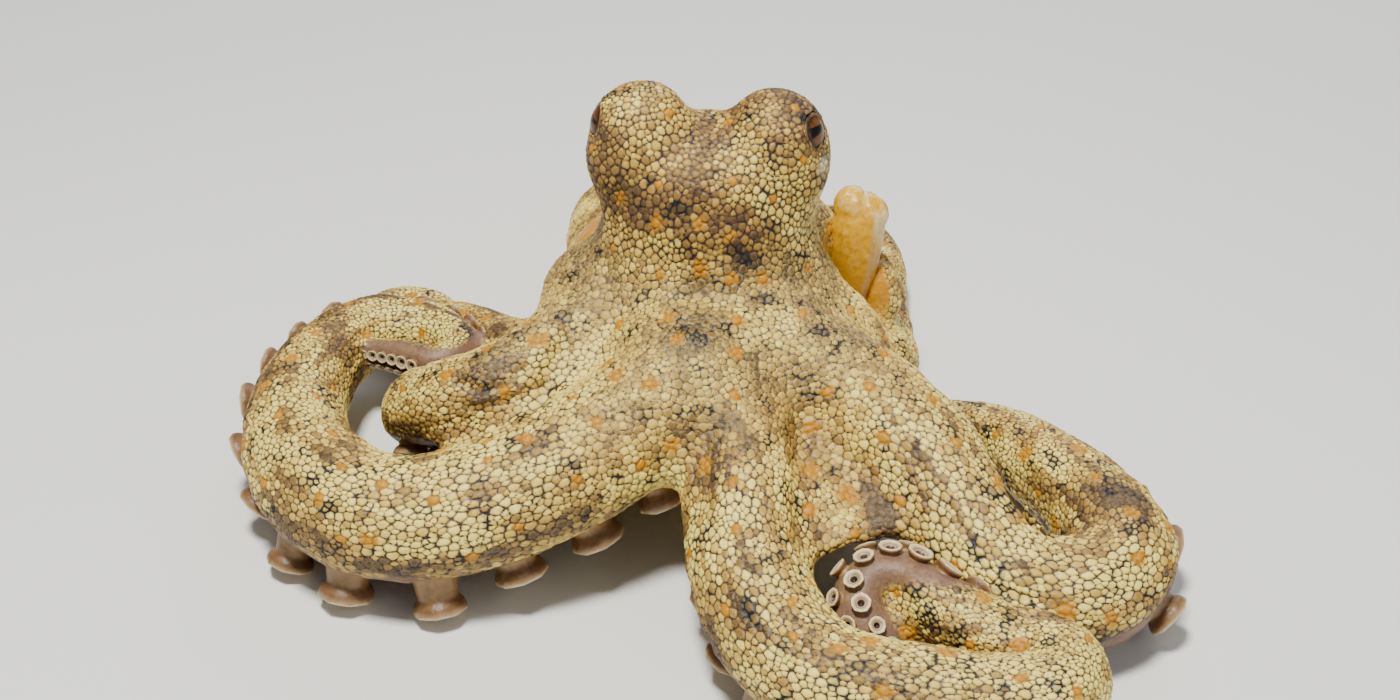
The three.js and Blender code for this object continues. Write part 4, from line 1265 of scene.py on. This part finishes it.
def skinMaterial():
    finish = skinFinish
    made, tree, shader = newMaterial("octopus skin", finish["roughness"])
    at = {name: attributeNode(tree, name) for name in ("pebble", "inward", "cellTone", "spot", *carriedValues)}
    granule = rampNode(tree, at["cellTone"], (0.0, finish["brown"]), (0.3, finish["tan"]), (0.58, finish["sand"]),
                       (0.9, finish["cream"]))
    rim = mixColour(tree, at["headness"], finish["rim"], finish["headRim"])
    rimShare = times(tree, rampNode(tree, at["inward"], (0.2, 1.0), (0.8, 0.0)), finish["rimShare"])
    crownRim = mathNode(tree, "ADD", finish["crownRim"], at["upper"], clamp=True)
    granule = mixColour(tree, times(tree, rimShare, crownRim), granule, rim)
    mottle = rampNode(tree, noiseNode(tree, finish["spotScale"], 2), (0.25, 0.75), (0.5, 1.0))
    granule = mixColour(tree, times(tree, at["spot"], mottle), granule, finish["orange"])
    fleck = rampNode(tree, noiseNode(tree, finish["fleckScale"], roughness=0.6), (0.56, 0.0), (0.66, 1.0))
    grooveAndShade = mixColour(tree, times(tree, at["upper"], finish["veilShare"]), finish["grooveAndShade"], finish["veil"])
    grooveAndShade = mixColour(tree, fleck, grooveAndShade, finish["dark"])
    grooveAndShade = mixColour(tree, times(tree, at["spot"], finish["amberShare"]), grooveAndShade, finish["amber"])
    height = mathNode(tree, "SUBTRACT", at["pebble"], times(tree, fleck, finish["fleckLower"]))
    for name, share in finish["lower"].items():
        height = mathNode(tree, "SUBTRACT", height, times(tree, at[name], share))
    # the grooves take the groove colour, which is partly painted shade
    colour = mixColour(tree, rampNode(tree, height, (0.28, 0.0), (0.76, 1.0)), grooveAndShade, granule)
    # painted shade in the folds: the colour drawn towards the dark groove colour
    colour = mixColour(tree, times(tree, at["creased"], finish["foldShadeShare"]), colour, finish["grooveAndShade"])
    side = mixColour(tree, noiseNode(tree, finish["bareScale"], 4), finish["purple"], finish["slate"])
    colour = mixColour(tree, times(tree, at["smoothSide"], finish["bareShare"]), colour, side)
    colour = mixColour(tree, at["lining"], colour, finish["lining"])
    colour = mixColour(tree, times(tree, at["pale"], finish["paleShare"]), colour, finish["white"])
    finishMaterial(tree, shader, colour, finish)
    return made


suckerFinish = {
    "roughness": 0.42,
    "speckle": {"Scale": 420.0, "Low": 0.72, "High": 1.1},
    "grain": {"Scale": 900.0, "Distance": 0.0004, "Strength": 0.6},
    # the darkest tones, towards 1, are painted shade in the pit of each sucker
    "tones": [(0.0, srgb(172, 136, 84)), (0.12, srgb(124, 90, 54)), (0.24, srgb(112, 78, 46)),
              (0.40, srgb(170, 136, 92)), (0.54, srgb(234, 214, 170)), (0.68, srgb(140, 112, 80)),
              (0.82, srgb(92, 62, 50)), (1.0, srgb(34, 22, 20))],
}


def suckerMaterial():
    made, tree, shader = newMaterial("sucker skin", suckerFinish["roughness"])
    colour = rampNode(tree, attributeNode(tree, "tone"), *suckerFinish["tones"])
    finishMaterial(tree, shader, colour, suckerFinish)
    return made


funnelFinish = {
    "roughness": 0.36,
    "speckle": {"Scale": 900.0, "Low": 0.8, "High": 1.08},
    "grain": {"Scale": 500.0, "Distance": 0.0005, "Strength": 0.5},
    "tones": [(0.15, srgb(158, 92, 0)), (0.5, srgb(196, 138, 0)), (1.0, srgb(218, 164, 0))],
    "pale": srgb(248, 224, 160), "patchScale": 75, "patches": ((0.5, 0.0), (0.64, 1.0)),
    "paleFrom": ((0.6, 0.0), (0.9, 0.8)),
}


def funnelMaterial():
    made, tree, shader = newMaterial("funnel skin", funnelFinish["roughness"])
    level = attributeNode(tree, "level")
    colour = rampNode(tree, level, *funnelFinish["tones"])
    patches = times(tree, rampNode(tree, noiseNode(tree, funnelFinish["patchScale"], 3), *funnelFinish["patches"]),
                    rampNode(tree, level, *funnelFinish["paleFrom"]))
    colour = mixColour(tree, patches, colour, funnelFinish["pale"])
    finishMaterial(tree, shader, colour, funnelFinish)
    return made


# The pupil is a slit across the iris, thicker at one end; its sizes are in millimetres.
eyeFinish = {
    "roughness": 0.28, "specular": 0.3,
    "speckle": {"Scale": 700.0, "Low": 0.6, "High": 1.25},
    "iris": [(0.0, srgb(112, 70, 30)), (0.45, srgb(98, 58, 26)), (0.58, srgb(56, 34, 16)), (0.68, srgb(26, 16, 10))],
    "pupil": (0.003, 0.003, 0.004), "slitHalf": 1.1, "slitWedge": -0.14, "slitRise": 0.9, "slitReach": 4.2,
}


def eyeMaterial():
    made, tree, shader = newMaterial("eye", eyeFinish["roughness"])
    level, rise = attributeNode(tree, "level"), attributeNode(tree, "rise")
    radius = mathNode(tree, "SQRT", mathNode(tree, "ADD", times(tree, level, level), times(tree, rise, rise)))
    iris = rampNode(tree, mathNode(tree, "DIVIDE", radius, eyeShape["radius"]), *eyeFinish["iris"])
    iris = mixColour(tree, 1.0, iris, groupNode(tree, speckle, eyeFinish["speckle"]), "MULTIPLY")
    slit = mathNode(tree, "ADD", eyeFinish["slitHalf"], times(tree, level, eyeFinish["slitWedge"]))
    fromSlit = mathNode(tree, "ABSOLUTE", mathNode(tree, "SUBTRACT", rise, eyeFinish["slitRise"]))
    inReach = mathNode(tree, "LESS_THAN", mathNode(tree, "ABSOLUTE", level), eyeFinish["slitReach"])
    pupil = times(tree, mathNode(tree, "LESS_THAN", fromSlit, slit), inReach)
    tree.links.new(mixColour(tree, pupil, iris, eyeFinish["pupil"]), shader.inputs["Base Color"])
    shader.inputs["Specular IOR Level"].default_value = eyeFinish["specular"]
    return made


def giveMaterial(pieces, material):
    for piece in pieces:
        piece.data.materials.append(material)


giveMaterial((skin, *lids.values()), skinMaterial())
giveMaterial((suckers,), suckerMaterial())
giveMaterial((funnel,), funnelMaterial())
giveMaterial(eyes.values(), eyeMaterial())

fleshNodes = ["head", "neck", "mantle", "crown", *webRecipes]
for name, arm in armRecipes.items():
    fleshNodes += [f"arm_{name}_{part}" for part in arm["nodes"].split()]
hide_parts(*fleshNodes)
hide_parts("funnel")
for piece in (skin, suckers, funnel, *eyes.values(), *lids.values()):
    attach(piece, "root")
for side, eye in eyes.items():
    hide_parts("eye_" + side)
print("materials given")

studio = {
    "floorSize": 12.0, "floorColour": (0.78, 0.78, 0.76), "floorRoughness": 0.8,
    "world": (0.9, 0.93, 1.0), "worldStrength": 0.22, "aim": (0, 0, 0.05),
    "lights": {  # place, size, power and colour
        "key": ((-0.14, -0.32, 1.18), 0.22, 25.0, (1.0, 0.985, 0.91)),
        "fill": ((0.9, -0.9, 0.7), 1.0, 3.6, (0.92, 0.96, 1.0)),
        "back": ((0.3, 1.1, 0.8), 0.8, 6.0, (1, 1, 1)),
    },
    "cameraAt": (-2.5, -534.0, 373.7), "elevation": 32, "lens": 50, "sensor": 36, "clip": (0.01, 50),
}
floorMesh = bpy.data.meshes.new("floor")
half = studio["floorSize"] / 2
floorMesh.from_pydata([(-half, -half, 0), (half, -half, 0), (half, half, 0), (-half, half, 0)], [], [(0, 1, 2, 3)])
floor = newObject("floor", floorMesh)
floorMaterial, _, floorShader = newMaterial("floor", studio["floorRoughness"])
floorShader.inputs["Base Color"].default_value = (*studio["floorColour"], 1)
giveMaterial((floor,), floorMaterial)
floor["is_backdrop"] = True

world = bpy.data.worlds.new("studio")
bpy.context.scene.world = world
world.use_nodes = True
background = world.node_tree.nodes["Background"].inputs
background["Color"].default_value = (*studio["world"], 1)
background["Strength"].default_value = studio["worldStrength"]

for name, (place, size, power, colour) in studio["lights"].items():
    light = bpy.data.lights.new(name, "AREA")
    light.size, light.energy, light.color = size, power, colour
    lamp = newObject(name, light)
    lamp.location = place
    lamp.rotation_mode = "QUATERNION"
    lamp.rotation_quaternion = (Vector(studio["aim"]) - Vector(place)).to_track_quat("-Z", "Y")

camera = bpy.data.cameras.new("camera")
camera.lens, camera.sensor_width = studio["lens"], studio["sensor"]
camera.clip_start, camera.clip_end = studio["clip"]
viewer = newObject("camera", camera)
viewer.location = Vector(studio["cameraAt"]) * mm
viewer.rotation_euler = (math.radians(90 - studio["elevation"]), 0, 0)
bpy.context.scene.camera = viewer
print("studio set")

low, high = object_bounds()
